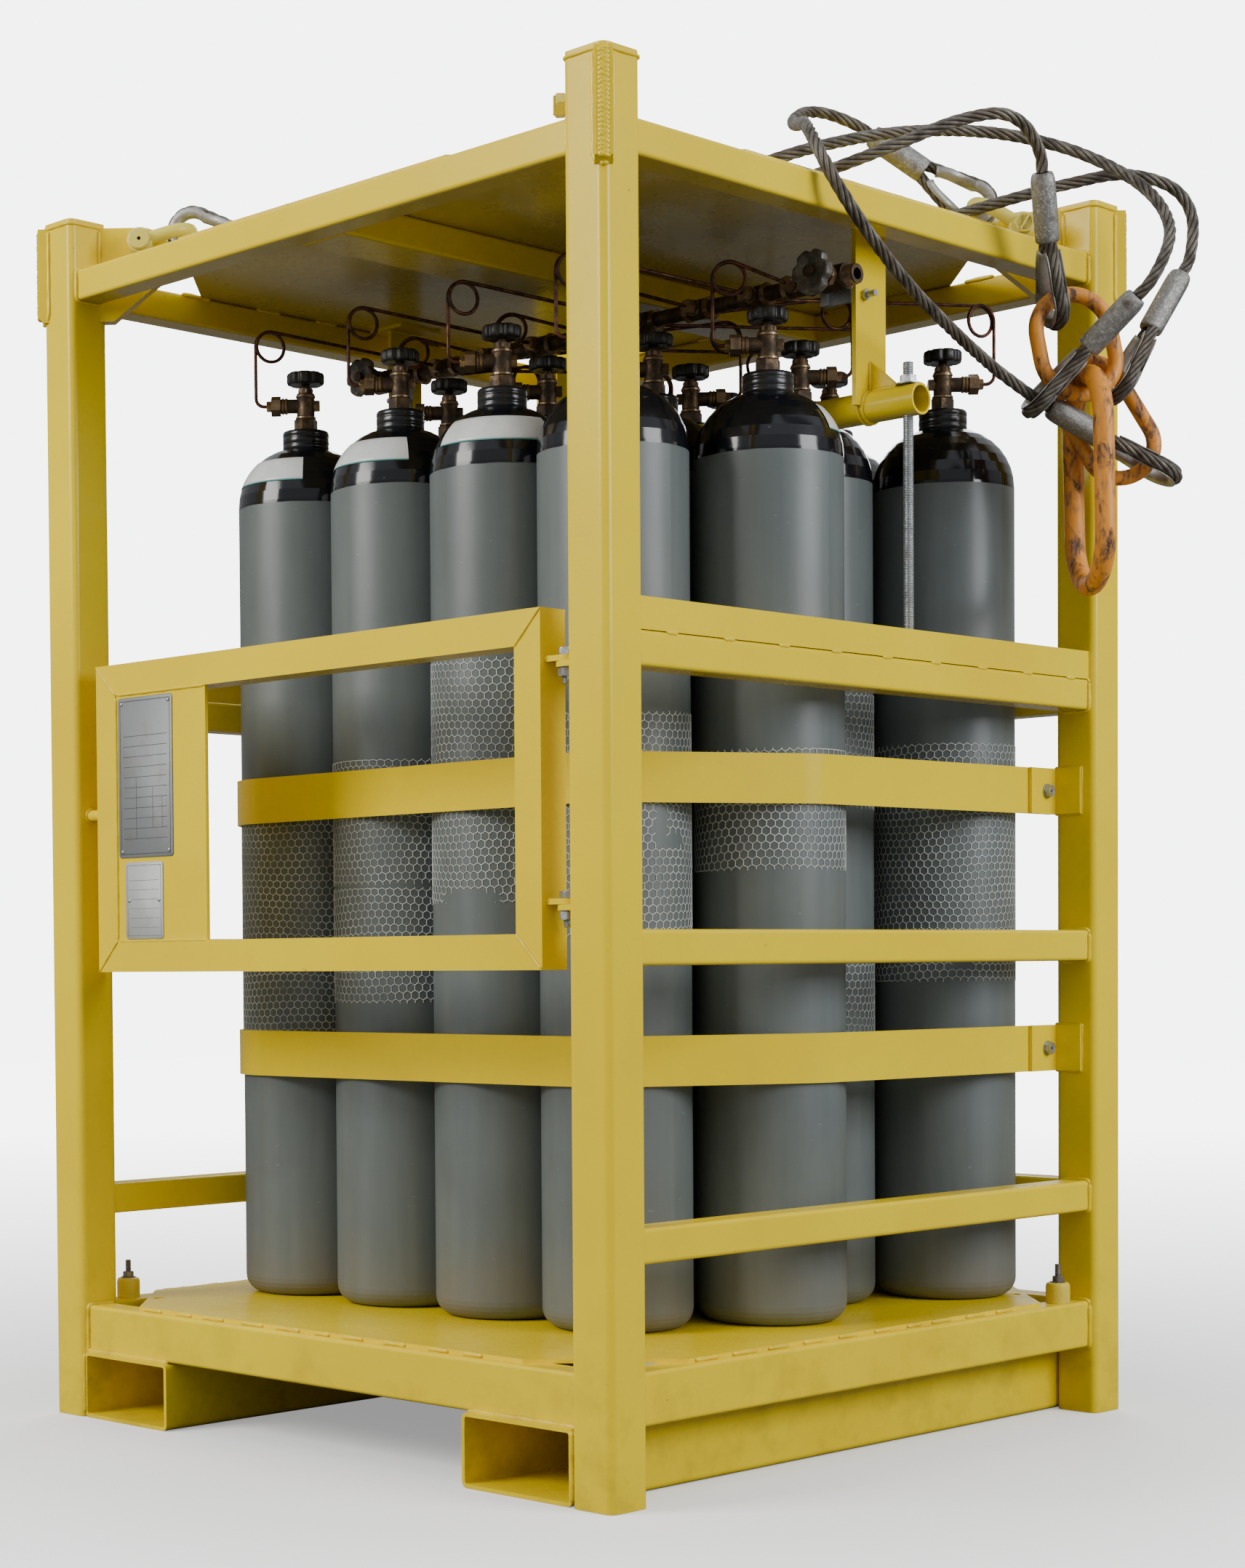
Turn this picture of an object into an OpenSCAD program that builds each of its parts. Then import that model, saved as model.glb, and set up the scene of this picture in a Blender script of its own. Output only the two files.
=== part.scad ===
// Gas cylinder rack: a welded lifting frame around sixteen upright bottles,
// piped to one manifold, with a swing gate and a four leg wire rope sling.
// X runs to the right, Y to the back and Z up. The gate and the fork pocket
// mouths face -Y. The origin is on the ground under the middle of the frame.

/* [Corner posts] */
// Outside width and depth over the posts
frame_w = 1250; // [1200:5:1320]
// Height over the post caps
frame_h = 1968; // [1960:2:2060]
// Side of the square post
post_side = 76; // [70:1:90]
// Wall of the post
post_wall = 6; // [4:0.5:10]
// Outside corner radius of the post
post_round = 12; // [8:1:16]
// Thickness of the post cap
cap_t = 8; // [5:1:12]

/* [Roof] */
// Drop from the post caps to the top of the top rails
roof_drop = 83; // [75:1:100]
// Side of the square rails
rail_side = 50; // [40:1:56]
// Wall of the rails
rail_wall = 4; // [3:0.5:6]
// Outside corner radius of the rails
rail_round = 6; // [4:1:8]
// Thickness of the roof plate
roof_t = 6; // [4:1:10]
// Distance from the middle to the edge of the roof plate
roof_half = 600; // [580:1:612]
// Sum of X and Y along the cut corners of the roof plate
roof_cut = 900; // [860:5:920]
// Width of the roof beam
beam_w = 100; // [60:5:140]

/* [Base] */
// Height of the base rails
base_h = 76; // [60:1:100]
// Width of the base rails
base_w = 50; // [40:1:60]
// Outside height of the fork pockets
pocket_h = 108; // [90:1:130]
// Outside width of the fork pockets
pocket_w = 214; // [180:2:230]
// Wall of the fork pockets
pocket_wall = 6; // [5:0.5:10]
// Outside corner radius of the fork pockets
pocket_round = 10; // [8:1:12]
// Set back of the pocket mouths from the post faces
pocket_back = 3; // [0:1:10]
// Thickness of the floor plate
floor_t = 6; // [4:1:10]
// Distance from the middle to the edge of the floor plate
floor_half = 597; // [580:1:605]
// Sum of X and Y along the cut corners of the floor plate
floor_cut = 1030; // [1000:5:1040]
// Radius of the drain holes in the floor plate
drain_r = 10; // [5:1:14]

/* [Guard rails] */
// Top of the low guard rail
guard_low = 381; // [340:1:420]
// Top of the middle guard rail
guard_mid = 790; // [740:1:840]
// Top of the high guard rail
guard_top = 1197; // [1160:1:1240]
// Height of the flat bar on the high guard rail
upstand_h = 45; // [30:1:60]
// Thickness of that flat bar
upstand_t = 8; // [5:1:10]

/* [Lifting eyes] */
// Thickness of the eye plate
eye_t = 25; // [20:1:28]
// Bottom of the eye plate below the top of the post
eye_drop = 161; // [150:1:180]
// How far the eye plate stands proud of the outer post corner
eye_proud = 11; // [6:1:16]
// Reach of the eye plate inside the inner post corner
eye_reach = 104; // [98:1:110]
// Distance of the eye hole from the inner post corner
eye_hole_in = 59; // [56:1:62]
// Distance of the eye hole below the top of the plate
eye_hole_down = 28; // [26:1:32]
// Thickness of the cheek ring on each side
cheek_t = 3; // [2:0.5:5]
// Radius of the cheek ring
cheek_r = 27; // [24:1:27.5]
// Radius of the shackle pin
shackle_pin_r = 12.5; // [11:0.5:14]
// Radius of the shackle bow bar
shackle_bar_r = 11; // [9:0.5:12]
// Reach from the shackle pin to the middle of the bow's bar
shackle_crown = 84; // [80:1:92]
// Middle of a shackle's leg from the middle of its eye plate
shackle_leg = 36; // [32:1:38]

/* [Bottles] */
// Bottle diameter
bottle_d = 230; // [220:1:230]
// Head room from the start of a bottle's shoulder to the top of the rails
head_room = 370; // [365:5:400]
// Radius of the shoulder
shoulder_r = 100; // [98:1:104]
// Rounding of the bottom edge
foot_round = 30; // [20:1:40]
// Diameter of the neck collar
collar_d = 76; // [70:1:80]
// Height of the neck collar
collar_h = 32; // [26:1:40]
// Distance between bottles in a row
pitch_x = 232; // [232:1:236]
// Distance between rows
pitch_y = 226.6; // [226:0.2:230]
// Place of the pack's middle from left to right
pack_x = 3; // [0:1:6]
// Place of the pack's middle from front to back
pack_y = 97; // [92:1:98]

/* [Valves] */
// Height of the hexagon at the foot of the valve
valve_hex_h = 20; // [14:1:24]
// Radius of the valve column
valve_r = 15; // [12:1:17]
// Height of the valve column over its hexagon
valve_column_h = 44; // [40:1:48]
// Height of the gland nut and neck over the column
gland_h = 14.4; // [12:0.2:18]
// Radius of the valve spindle
spindle_r = 4; // [3:0.5:5]
// Running clearance round a spindle
run_gap = 0.05; // [0.02:0.01:0.1]
// Clearance between a turning piece and its neighbours
side_gap = 0.3; // [0.2:0.1:0.6]
// Diameter of the bottle handwheel
wheel_d = 63; // [56:1:70]
// Thickness of the bottle handwheel
wheel_h = 20; // [16:1:24]
// Radius of the tubes from the bottles
tube_r = 3; // [2.5:0.5:4]
// Middle radius of the loop in each tube
loop_r = 25; // [22:1:28]

/* [Manifold] */
// Place of the manifold pipe from front to back
manifold_y = 36; // [32:1:40]
// Drop from the top of the rails to the pipe's middle
manifold_drop = 103; // [95:1:107]
// Radius of the manifold pipe
manifold_r = 12; // [10:1:13]
// Distance between the middle ports
port_pitch = 115; // [112:1:118]
// Distance of the end ports from the middle
port_end = 430; // [425:1:436]
// Room between the manifold valves' middle and the posts
valve_room = 49; // [45:1:51]
// Radius of the manifold valve body
valve_body_r = 20; // [18:1:21]
// Diameter of the manifold handwheel
big_wheel_d = 68; // [60:1:74]
// Thickness of the manifold handwheel
big_wheel_h = 16; // [12:1:20]

/* [Clamping] */
// Outside diameter of the clamp bar
clamp_d = 48.3; // [42:0.1:50]
// Wall of the clamp bar
clamp_wall = 4; // [3:0.5:6]
// Room between the hanger plates' middle and the posts
hanger_room = 34; // [31:1:36]
// Width of the hanger plates
hanger_w = 75; // [60:1:90]
// Thickness of the hanger plates
hanger_t = 8; // [6:1:10]
// Diameter of the tie rods
rod_d = 16; // [12:1:20]
// Height of the flat bands
band_h = 75; // [60:1:90]
// Thickness of the flat bands
band_t = 6; // [4:1:7]
// Bottom of the lower band
band_low = 560; // [540:5:600]
// Bottom of the upper band
band_high = 980; // [940:5:1000]
// Thickness of the plastic net sleeves
net_t = 0.9; // [0.5:0.1:0.9]

/* [Gate] */
// Room between the left post and the gate
gate_room_left = 40; // [37:1:49]
// Room between the gate and the right post
gate_room_right = 58; // [55:1:64]
// Bottom of the gate
gate_bottom = 735; // [700:5:760]
// Height of the gate
gate_h = 498; // [460:2:520]
// Width of the closed panel in the gate
panel_w = 226; // [200:2:260]
// Thickness of the closed panel
panel_t = 6; // [4:1:8]
// Thickness of the hinge lugs
lug_t = 8; // [6:1:10]
// Half width of the hinge lugs
lug_r = 16; // [14:1:17]
// Radius of the hinge bolts
hinge_bolt_r = 8; // [6:0.5:9]
// Height of the middle of the upper hinge
hinge_high = 1158; // [1140:1:1170]
// Height of the middle of the lower hinge
hinge_low = 825; // [800:1:860]

/* [Sling] */
// Rope diameter
rope_d = 19; // [16:1:20]
// Middle radius of the rope round a thimble
thimble_r = 34; // [32:1:38]
// Distance from a thimble's middle to its ferrule
throat = 95; // [90:1:100]
// Length of a ferrule
ferrule_l = 105; // [90:1:110]
// Radius of a ferrule
ferrule_r = 20; // [19.5:0.5:22]
// Radius of the bar of the intermediate links
link_bar = 12; // [10:0.5:13]
// Radius of the bar of the master link
master_bar = 16; // [14:0.5:18]

/* [Hidden] */
$fn = 48;
eps = 0.01;

// Posts and rails
post_at = frame_w/2 - post_side/2;
post_in = frame_w/2 - post_side;
rail_set = 12;
rail_out = frame_w/2 - rail_set;
rail_mid = rail_out - rail_side/2;
rail_in = rail_out - rail_side;
rail_len = 2*post_in;
cap_z = frame_h - cap_t;
rail_top = frame_h - roof_drop;
rail_bottom = rail_top - rail_side;
base_top = pocket_h + base_h;
floor_top = base_top + floor_t;
pocket_x = post_in - pocket_w/2;
pocket_len = frame_w - 2*pocket_back;

// Lifting eyes: distances run inward from the sharp inner post corner
eye_sharp = post_side*sqrt(2);
eye_outer = -eye_sharp + post_round*(sqrt(2) - 1) - eye_proud;
eye_top = cap_z;
eye_bottom = frame_h - eye_drop;
eye_round = 45;
eye_pin_z = eye_top - eye_hole_down;
eye_corner = post_in*sqrt(2);
eye_pin_gap = 0.3;
shackle_ear_r = 21;
shackle_nut_r = 17;
shackle_nut_h = 14;

// Bottles
rows = 4;
row_bottles = 4;
bottle_r = bottle_d/2;
body_top = rail_top - head_room;
shoulder_in = bottle_r - shoulder_r;
collar_z = body_top + sqrt(pow(shoulder_r, 2) - pow(collar_d/2 - shoulder_in, 2));
collar_top = collar_z + collar_h;
function bottle_x(row, i) = pack_x + (i - (row_bottles - 1)/2)*pitch_x
    + (row%2 == 0 ? -1 : 1)*pitch_x/4;
function bottle_y(row) = pack_y + (row - (rows - 1)/2)*pitch_y;
function is_front(row) = row < rows/2;
bottles_at = [for (row = [0:rows - 1]) for (i = [0:row_bottles - 1])
    [bottle_x(row, i), bottle_y(row), row, i]];

// Valves
valve_hex_r = 20;
outlet_z = collar_top + valve_hex_h + 24;
outlet_r = 12;
outlet_reach = 42;
nut_reach = 58;
nut_r = 17;
bend_r = 14;
column_top = collar_top + valve_hex_h + valve_column_h;
gland_top = column_top + gland_h;
wheel_z = gland_top + side_gap;
spindle_top = wheel_z + wheel_h + side_gap;
spindle_nut_h = 4;
spindle_nut_r = 6.5;
wheel_lobes = 8;

// Tubes from the bottles to the manifold: each loop stands over its riser
riser_reach = nut_reach + 12 + bend_r;
manifold_z = rail_top - manifold_drop;
loop_z = manifold_z + 8;
loop_step = 2*tube_r + 0.1;
seam = 0.02;
port_reach = 34;
front_ports = concat([for (i = [-3:3]) i*port_pitch], [port_end]);
back_ports = concat([-port_end], [for (i = [-3:3]) i*port_pitch]);
all_ports = concat([-port_end], [for (i = [-3:3]) i*port_pitch], [port_end]);

// Manifold valves and clips
valve_x = post_in - valve_room;
hanger_x = post_in - hanger_room;
valve_body_l = 44;
valve_outlet_l = 18;
valve_outlet_r = 15;
valve_bore_r = 9;
bonnet_r = 12;
bonnet_end = manifold_y - 50;
big_spindle_r = 5;
big_wheel_y = bonnet_end - side_gap - big_wheel_h;
clip_x = hanger_x - 50;
clip_w = 12;
clip_t = 6;
clip_bolt_r = 5;
clip_bolt_y = 80;
clip_bolt_z = manifold_z - 22;

// Clamp bar, hangers and rods: the bar rests in the valley between two rows
clamp_r = clamp_d/2;
valley = pitch_y/2 - shoulder_in;
clamp_z = body_top + sqrt(pow(shoulder_r + clamp_r + side_gap, 2) - pow(valley, 2));
rod_x = rail_mid;
clamp_half = rod_x + 24;
rod_nut_r = 14;
rod_nut_h = 13;
rod_bottom = guard_top - 17;
rod_top = clamp_z + clamp_r + rod_nut_h + 22;
hanger_pad = 6;
hanger_pad_l = 80;
hanger_pad_w = 100;
gusset_h = 47;
gusset_l = 53;

// Bands: they run from the rear cleats round the front of the pack
band_mid_r = bottle_r + net_t + 0.6 + band_t/2;
band_end_x = post_in - band_t/2 - 1;
band_end_y = post_in - band_t - 2;
band_bend_y = post_in - 54;
corner_a = [bottle_x(1, row_bottles - 1), bottle_y(1)];
corner_b = [bottle_x(0, row_bottles - 1), bottle_y(0)];
corner_c = [bottle_x(0, 0), bottle_y(0)];
function tangent_angle(c, q, side) = atan2(q[1] - c[1], q[0] - c[0])
    + side*acos(band_mid_r/norm(q - c));
band_right = tangent_angle(corner_a, [band_end_x, band_bend_y], -1);
band_slope = atan2(corner_b[1] - corner_a[1], corner_b[0] - corner_a[0]) + 90;
band_left = tangent_angle(corner_c, [-band_end_x, band_bend_y], 1) - 360;
function band_arc(c, from, to, r) = [for (k = [0:12])
    let (a = from + (to - from)*k/12) [c[0] + r*cos(a), c[1] + r*sin(a)]];
function band_line(off) = concat(
    [[band_end_x + off, band_end_y], [band_end_x + off, band_bend_y]],
    band_arc(corner_a, band_right, band_slope, band_mid_r + off),
    band_arc(corner_b, band_slope, -90, band_mid_r + off),
    band_arc(corner_c, -90, band_left, band_mid_r + off),
    [[-band_end_x - off, band_bend_y], [-band_end_x - off, band_end_y]]);
cleat_t = 6;
cleat_back = post_in - 74;
cleat_side = post_in + 51;
bolt_r = 6;
bolt_y = post_in - 31;
bolt_head = 8;
bolt_nut = 10;
bolt_hex_r = 10.5;
washer_t = 2.5;
net_fronts = [0, 1, 1, 2, 3, 4, 7, 8, 11, 11, 12, 15];
net_spans = [[630, 380], [681, 186], [871, 201], [838, 377], [780, 337], [560, 180],
             [881, 183], [985, 150], [552, 187], [985, 186], [640, 400], [708, 385]];

// Gate and its hinges
gate_y = -rail_mid;
hinge_x = post_in - 30;
gate_left = gate_room_left - post_in;
gate_right = post_in - gate_room_right;
gate_top = gate_bottom + gate_h;
open_left = gate_left + rail_side;
open_right = gate_right - rail_side;
open_bottom = gate_bottom + rail_side;
open_top = gate_top - rail_side;
panel_y = gate_y - rail_side/2 + 2;
plate_t = 1.5;
big_plate = [6, 134, 139, 258];
small_plate = [22, 3, 96, 124];
hinge_heights = [hinge_high, hinge_low];
hinge_head_h = 10;
hinge_nut_h = 13;
hinge_hex_r = 13.5;
hinge_tail = 10;
stop_r = 10;
stop_z = gate_bottom + gate_h/2 + 8;
stop_y = gate_y - 7;
boss_r = 19;
boss_h = 33;
boss_at = [[rail_mid + 2, post_in - 56], [-rail_mid - 2, 52 - post_in]];

// Sling: every eye has its thimble's middle, the way to its ferrule and a
// direction that its bar passes through it
rope_r = rope_d/2;
eyes = [
    [[455.2, 455.2, 1976.4], [-58, -58, 58], [71, -71, 0]],
    [[457.7, -442.8, 1949.6], [-25, 95, -18], [-71, -71, 0]],
    [[-448.6, -449.1, 1954.8], [80, 56, -20], [-71, 71, 0]],
    [[-445.5, 454.7, 1954.9], [85, -35, -20], [71, 71, 0]],
    [[762.8, 507.6, 1511.8], [-49, -73.4, 46.2], [33, 34, 88]],
    [[660.8, 347.8, 1621.2], [73, 16, 66], [42, 63, -65]],
    [[667, 365, 1765], [17, -40, 90], [56, 80, 22]],
    [[722.3, 470.2, 1649.4], [27, 44, 86], [-25, -45, 86]]];
shackle_tilts = [31, 12, 16, 16];
shackle_turns = [225, 135, 45, -45];

// Middle points of the four legs, chosen by hand
leg_right = [[301, 277, 2122], [298, 226, 2116], [323, 162, 2088], [369, 99, 2057],
    [425, 38, 2030], [482, -25, 2008], [537, -88, 1983], [588, -138, 1948],
    [622, -157, 1906], [644, -149, 1861], [657, -110, 1811], [659, -45, 1765],
    [653, 32, 1729], [644, 114, 1701], [636, 196, 1675], [631, 276, 1651]];
leg_near = [[396, -181, 1911], [416, -125, 1926], [442, -66, 1949], [468, -6, 1973],
    [493, 55, 1993], [516, 120, 2011], [538, 188, 2025], [562, 257, 2034],
    [592, 323, 2036], [628, 379, 2028], [672, 419, 2009], [720, 443, 1980],
    [770, 450, 1942], [814, 439, 1896], [841, 417, 1849], [842, 397, 1808]];
leg_left = [[-209, -288, 1904], [-146, -256, 1904], [-82, -225, 1904], [-17, -196, 1903],
    [49, -170, 1903], [116, -146, 1903], [183, -123, 1904], [251, -101, 1903],
    [321, -78, 1905], [395, -53, 1911], [468, -21, 1924], [538, 22, 1946],
    [599, 76, 1975], [652, 138, 2006], [690, 199, 2019], [703, 238, 2005]];
leg_far = [[-172, 342, 1903], [-96, 323, 1904], [-19, 309, 1904], [59, 300, 1904],
    [139, 294, 1904], [221, 293, 1904], [312, 296, 1906], [406, 307, 1912],
    [501, 326, 1924], [586, 361, 1940], [662, 414, 1959], [724, 481, 1973],
    [771, 549, 1952], [786, 572, 1913]];

// Links: middle, way to the top, normal, half width, half height and bar
link_places = [
    [[706.9, 403.6, 1488.9], [1, -5, 100], [65, 76, 3], 80, 162, master_bar],
    [[694, 388, 1700], [-19, -3, 98], [81, -57, 14], 61, 81, link_bar],
    [[702, 457, 1590], [-40, -30, 86], [61, -79, 1], 51, 98, link_bar]];

wheel_names = [for (i = [1:rows*row_bottles]) str("valve_wheel_", i)];

// A square with round corners, made of squares and circles
module round_square(w, h, r) {
    square([w - 2*r, h], center = true);
    square([w, h - 2*r], center = true);
    for (x = [-1, 1]) for (y = [-1, 1])
        translate([x*(w/2 - r), y*(h/2 - r)]) circle(r = r);
}

// The section of a square tube
module tube_section(w, h, wall, r) {
    difference() {
        round_square(w, h, r);
        round_square(w - 2*wall, h - 2*wall, max(r - wall, 1));
    }
}

// A square tube of a given length about the origin, along X or Y
module tube_x(length, w, h, wall, r) {
    rotate([90, 0, 90]) linear_extrude(length, center = true) tube_section(w, h, wall, r);
}
module tube_y(length, w, h, wall, r) {
    rotate([90, 0, 0]) linear_extrude(length, center = true) tube_section(w, h, wall, r);
}

// Puts children at the four corners, turned so that +X points inward
module at_corners() {
    for (k = [0:3]) rotate([0, 0, 45 + 90*k]) translate([eye_corner, 0, 0])
        rotate([0, 0, 180]) children();
}

module rod_along_x(r, from, to) {
    translate([from, 0, 0]) rotate([0, 90, 0]) cylinder(r = r, h = to - from);
}

module hexagon(r, h) {
    cylinder(r = r, h = h, $fn = 6);
}

// Turns children so that their X runs along one vector, with Z near another
function unit(v) = v/norm(v);
module aimed(at, along, flat) {
    a = unit(along);
    c = unit(flat - (flat*a)*a);
    b = cross(c, a);
    multmatrix([[a[0], b[0], c[0], at[0]], [a[1], b[1], c[1], at[1]],
                [a[2], b[2], c[2], at[2]], [0, 0, 0, 1]]) children();
}

module eye_plate() {
    rotate([90, 0, 0]) linear_extrude(eye_t, center = true) union() {
        polygon([[eye_outer, eye_bottom + 8], [eye_outer, eye_top], [eye_reach - eye_round, eye_top],
                 [eye_reach, eye_top - eye_round], [eye_reach, eye_top - 77],
                 [11, eye_bottom], [eye_outer + 8, eye_bottom]]);
        translate([eye_reach - eye_round, eye_top - eye_round]) circle(r = eye_round);
    }
}

module eye_bore(length) {
    translate([eye_hole_in, 0, eye_pin_z]) rotate([90, 0, 0])
        cylinder(r = shackle_pin_r + eye_pin_gap, h = length, center = true);
}

module corner_posts() {
    color("gold") difference() {
        for (x = [-1, 1]) for (y = [-1, 1]) translate([x*post_at, y*post_at, 0]) {
            linear_extrude(cap_z) tube_section(post_side, post_side, post_wall, post_round);
            translate([0, 0, cap_z]) linear_extrude(cap_t)
                round_square(post_side, post_side, post_round);
        }
        at_corners() eye_plate();
    }
}

module eye_plates() {
    color("gold") at_corners() difference() {
        union() {
            eye_plate();
            translate([eye_hole_in, 0, eye_pin_z]) rotate([90, 0, 0])
                cylinder(r = cheek_r, h = eye_t + 2*cheek_t, center = true);
        }
        eye_bore(eye_t + 2*cheek_t + 2);
    }
}

module top_rails() {
    z = rail_top - rail_side/2;
    color("gold") difference() {
        for (s = [-1, 1]) {
            translate([0, s*rail_mid, z]) tube_x(rail_len, rail_side, rail_side, rail_wall, rail_round);
            translate([s*rail_mid, 0, z]) tube_y(rail_len, rail_side, rail_side, rail_wall, rail_round);
        }
        at_corners() eye_plate();
    }
}

// A square plate with its four corners cut off
module cut_plate(half, cut, t) {
    e = cut - half;
    linear_extrude(t) polygon([[half, -e], [half, e], [e, half], [-e, half],
                               [-half, e], [-half, -e], [-e, -half], [e, -half]]);
}

module roof_plate() {
    color("gold") translate([0, 0, rail_top]) cut_plate(roof_half, roof_cut, roof_t);
}

module roof_beam() {
    color("gold") translate([0, 0, rail_top - rail_side/2])
        tube_y(2*rail_in, beam_w, rail_side, rail_wall, rail_round);
}

module base_rails() {
    z = pocket_h + base_h/2;
    mid = rail_out - base_w/2;
    color("gold") for (s = [-1, 1]) {
        translate([0, s*mid, z]) tube_x(rail_len, base_w, base_h, rail_wall, rail_round);
        translate([s*mid, 0, z]) tube_y(rail_len, base_w, base_h, rail_wall, rail_round);
    }
}

module floor_plate() {
    color("gold") translate([0, 0, base_top]) difference() {
        cut_plate(floor_half, floor_cut, floor_t);
        for (x = [-1, 1]) for (y = [-1, 1])
            translate([x*floor_half*0.84, y*floor_half*0.84, -1]) cylinder(r = drain_r, h = floor_t + 2);
    }
}

module fork_pockets() {
    color("gold") for (s = [-1, 1]) translate([s*pocket_x, 0, pocket_h/2])
        tube_y(pocket_len, pocket_w, pocket_h, pocket_wall, pocket_round);
}

module guard_rails() {
    color("gold") for (top = [guard_low, guard_mid, guard_top]) {
        z = top - rail_side/2;
        translate([0, rail_mid, z]) tube_x(rail_len, rail_side, rail_side, rail_wall, rail_round);
        for (s = [-1, 1]) difference() {
            translate([s*rail_mid, 0, z]) tube_y(rail_len, rail_side, rail_side, rail_wall, rail_round);
            if (top == guard_top)
                translate([s*rod_x, pack_y, rod_bottom]) cylinder(d = rod_d, h = rail_side);
        }
    }
}

module upstand_bars() {
    color("gold") for (a = [-90, 0, 90]) rotate([0, 0, a])
        translate([-post_in, rail_out - upstand_t, guard_top]) cube([rail_len, upstand_t, upstand_h]);
}

module earth_bosses() {
    color("silver") for (p = boss_at) translate([p[0], p[1], base_top]) {
        cylinder(r = boss_r, h = boss_h);
        translate([0, 0, boss_h]) cylinder(r = 12, h = 2.5);
        translate([0, 0, boss_h]) hexagon(9.5, 11);
        translate([0, 0, boss_h]) cylinder(r = 5, h = 31);
    }
}

module gate_stop() {
    color("gold") translate([0, stop_y, stop_z]) rod_along_x(stop_r, -post_in, gate_left - 1);
}

// A lug that reaches from a face to the hinge line, with its bore
module hinge_lug(reach, r, bore) {
    difference() {
        union() {
            translate([0, -r, 0]) cube([reach, 2*r, lug_t]);
            cylinder(r = r, h = lug_t);
        }
        translate([0, 0, -1]) cylinder(r = bore, h = lug_t + 2);
    }
}

module post_hinge_lugs() {
    color("gold") for (z = hinge_heights) translate([hinge_x, gate_y, z - lug_t - side_gap])
        hinge_lug(post_in - hinge_x, lug_r, hinge_bolt_r);
}

module gate_lugs() {
    color("gold") for (z = hinge_heights) translate([hinge_x, gate_y, z]) mirror([1, 0, 0])
        hinge_lug(hinge_x - gate_right, lug_r, hinge_bolt_r + run_gap);
}

module hinge_bolts() {
    color("silver") for (z = hinge_heights) translate([hinge_x, gate_y, 0]) {
        nut_top = z - lug_t - side_gap;
        translate([0, 0, z + lug_t + side_gap]) hexagon(hinge_hex_r, hinge_head_h);
        translate([0, 0, nut_top - hinge_nut_h]) hexagon(hinge_hex_r, hinge_nut_h);
        translate([0, 0, nut_top - hinge_nut_h - hinge_tail])
            cylinder(r = hinge_bolt_r, h = 2*lug_t + hinge_nut_h + hinge_tail + 2*side_gap + 1);
    }
}

module gate_frame() {
    color("gold") translate([0, gate_y + rail_side/2, 0]) rotate([90, 0, 0]) difference() {
        linear_extrude(rail_side) difference() {
            translate([gate_left, gate_bottom]) square([gate_right - gate_left, gate_h]);
            translate([open_left, open_bottom]) square([open_right - open_left, open_top - open_bottom]);
        }
        translate([0, 0, rail_wall]) linear_extrude(rail_side - 2*rail_wall) difference() {
            translate([gate_left + rail_wall, gate_bottom + rail_wall])
                square([gate_right - gate_left - 2*rail_wall, gate_h - 2*rail_wall]);
            translate([open_left - rail_wall, open_bottom - rail_wall])
                square([open_right - open_left + 2*rail_wall, open_top - open_bottom + 2*rail_wall]);
        }
    }
}

module gate_panel() {
    color("gold") translate([open_left, panel_y, open_bottom])
        cube([panel_w, panel_t, open_top - open_bottom]);
}

module data_plates() {
    color("gainsboro") for (p = [big_plate, small_plate])
        translate([open_left + p[0], panel_y - plate_t, open_bottom + p[1]])
            cube([p[2], plate_t, p[3]]);
}

// A band with its bolt holes, from its computed outline
module band(z) {
    outer = band_line(band_t/2);
    inner = band_line(-band_t/2);
    last = len(inner) - 1;
    difference() {
        translate([0, 0, z]) linear_extrude(band_h)
            polygon(concat(outer, [for (k = [0:last]) inner[last - k]]));
        translate([0, bolt_y, z + band_h/2]) rod_along_x(bolt_r, -frame_w/2, frame_w/2);
    }
}

module bands() {
    color("gold") for (z = [band_low, band_high]) band(z);
}

module cleat(z) {
    leg = band_end_x + band_t/2;
    difference() {
        union() {
            translate([leg, cleat_back, z]) cube([cleat_t, post_in - cleat_back, band_h]);
            translate([leg, post_in - cleat_t, z]) cube([cleat_side - leg, cleat_t, band_h]);
        }
        translate([0, bolt_y, z + band_h/2]) rod_along_x(bolt_r, 0, frame_w/2);
    }
}

module band_cleats() {
    color("gold") for (z = [band_low, band_high]) {
        cleat(z);
        mirror([1, 0, 0]) cleat(z);
    }
}

module band_bolt(z) {
    inside = band_end_x - band_t/2;
    outside = band_end_x + band_t/2 + cleat_t;
    translate([0, bolt_y, z + band_h/2]) {
        rod_along_x(bolt_r, inside - bolt_nut - 3, outside + bolt_head);
        translate([inside - bolt_nut, 0, 0]) rotate([0, 90, 0]) hexagon(bolt_hex_r, bolt_nut);
        translate([outside + washer_t, 0, 0]) rotate([0, 90, 0])
            hexagon(bolt_hex_r, bolt_head - washer_t);
        rod_along_x(bolt_r*2, outside, outside + washer_t);
    }
}

module band_bolts() {
    color("silver") for (z = [band_low, band_high]) {
        band_bolt(z);
        mirror([1, 0, 0]) band_bolt(z);
    }
}

module clamp_bar() {
    color("gold") difference() {
        translate([0, pack_y, clamp_z]) rod_along_x(clamp_r, -clamp_half, clamp_half);
        translate([0, pack_y, clamp_z])
            rod_along_x(clamp_r - clamp_wall, -clamp_half - 1, clamp_half + 1);
        for (s = [-1, 1]) translate([s*rod_x, pack_y, clamp_z - 40]) cylinder(d = rod_d, h = 80);
    }
}

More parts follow.
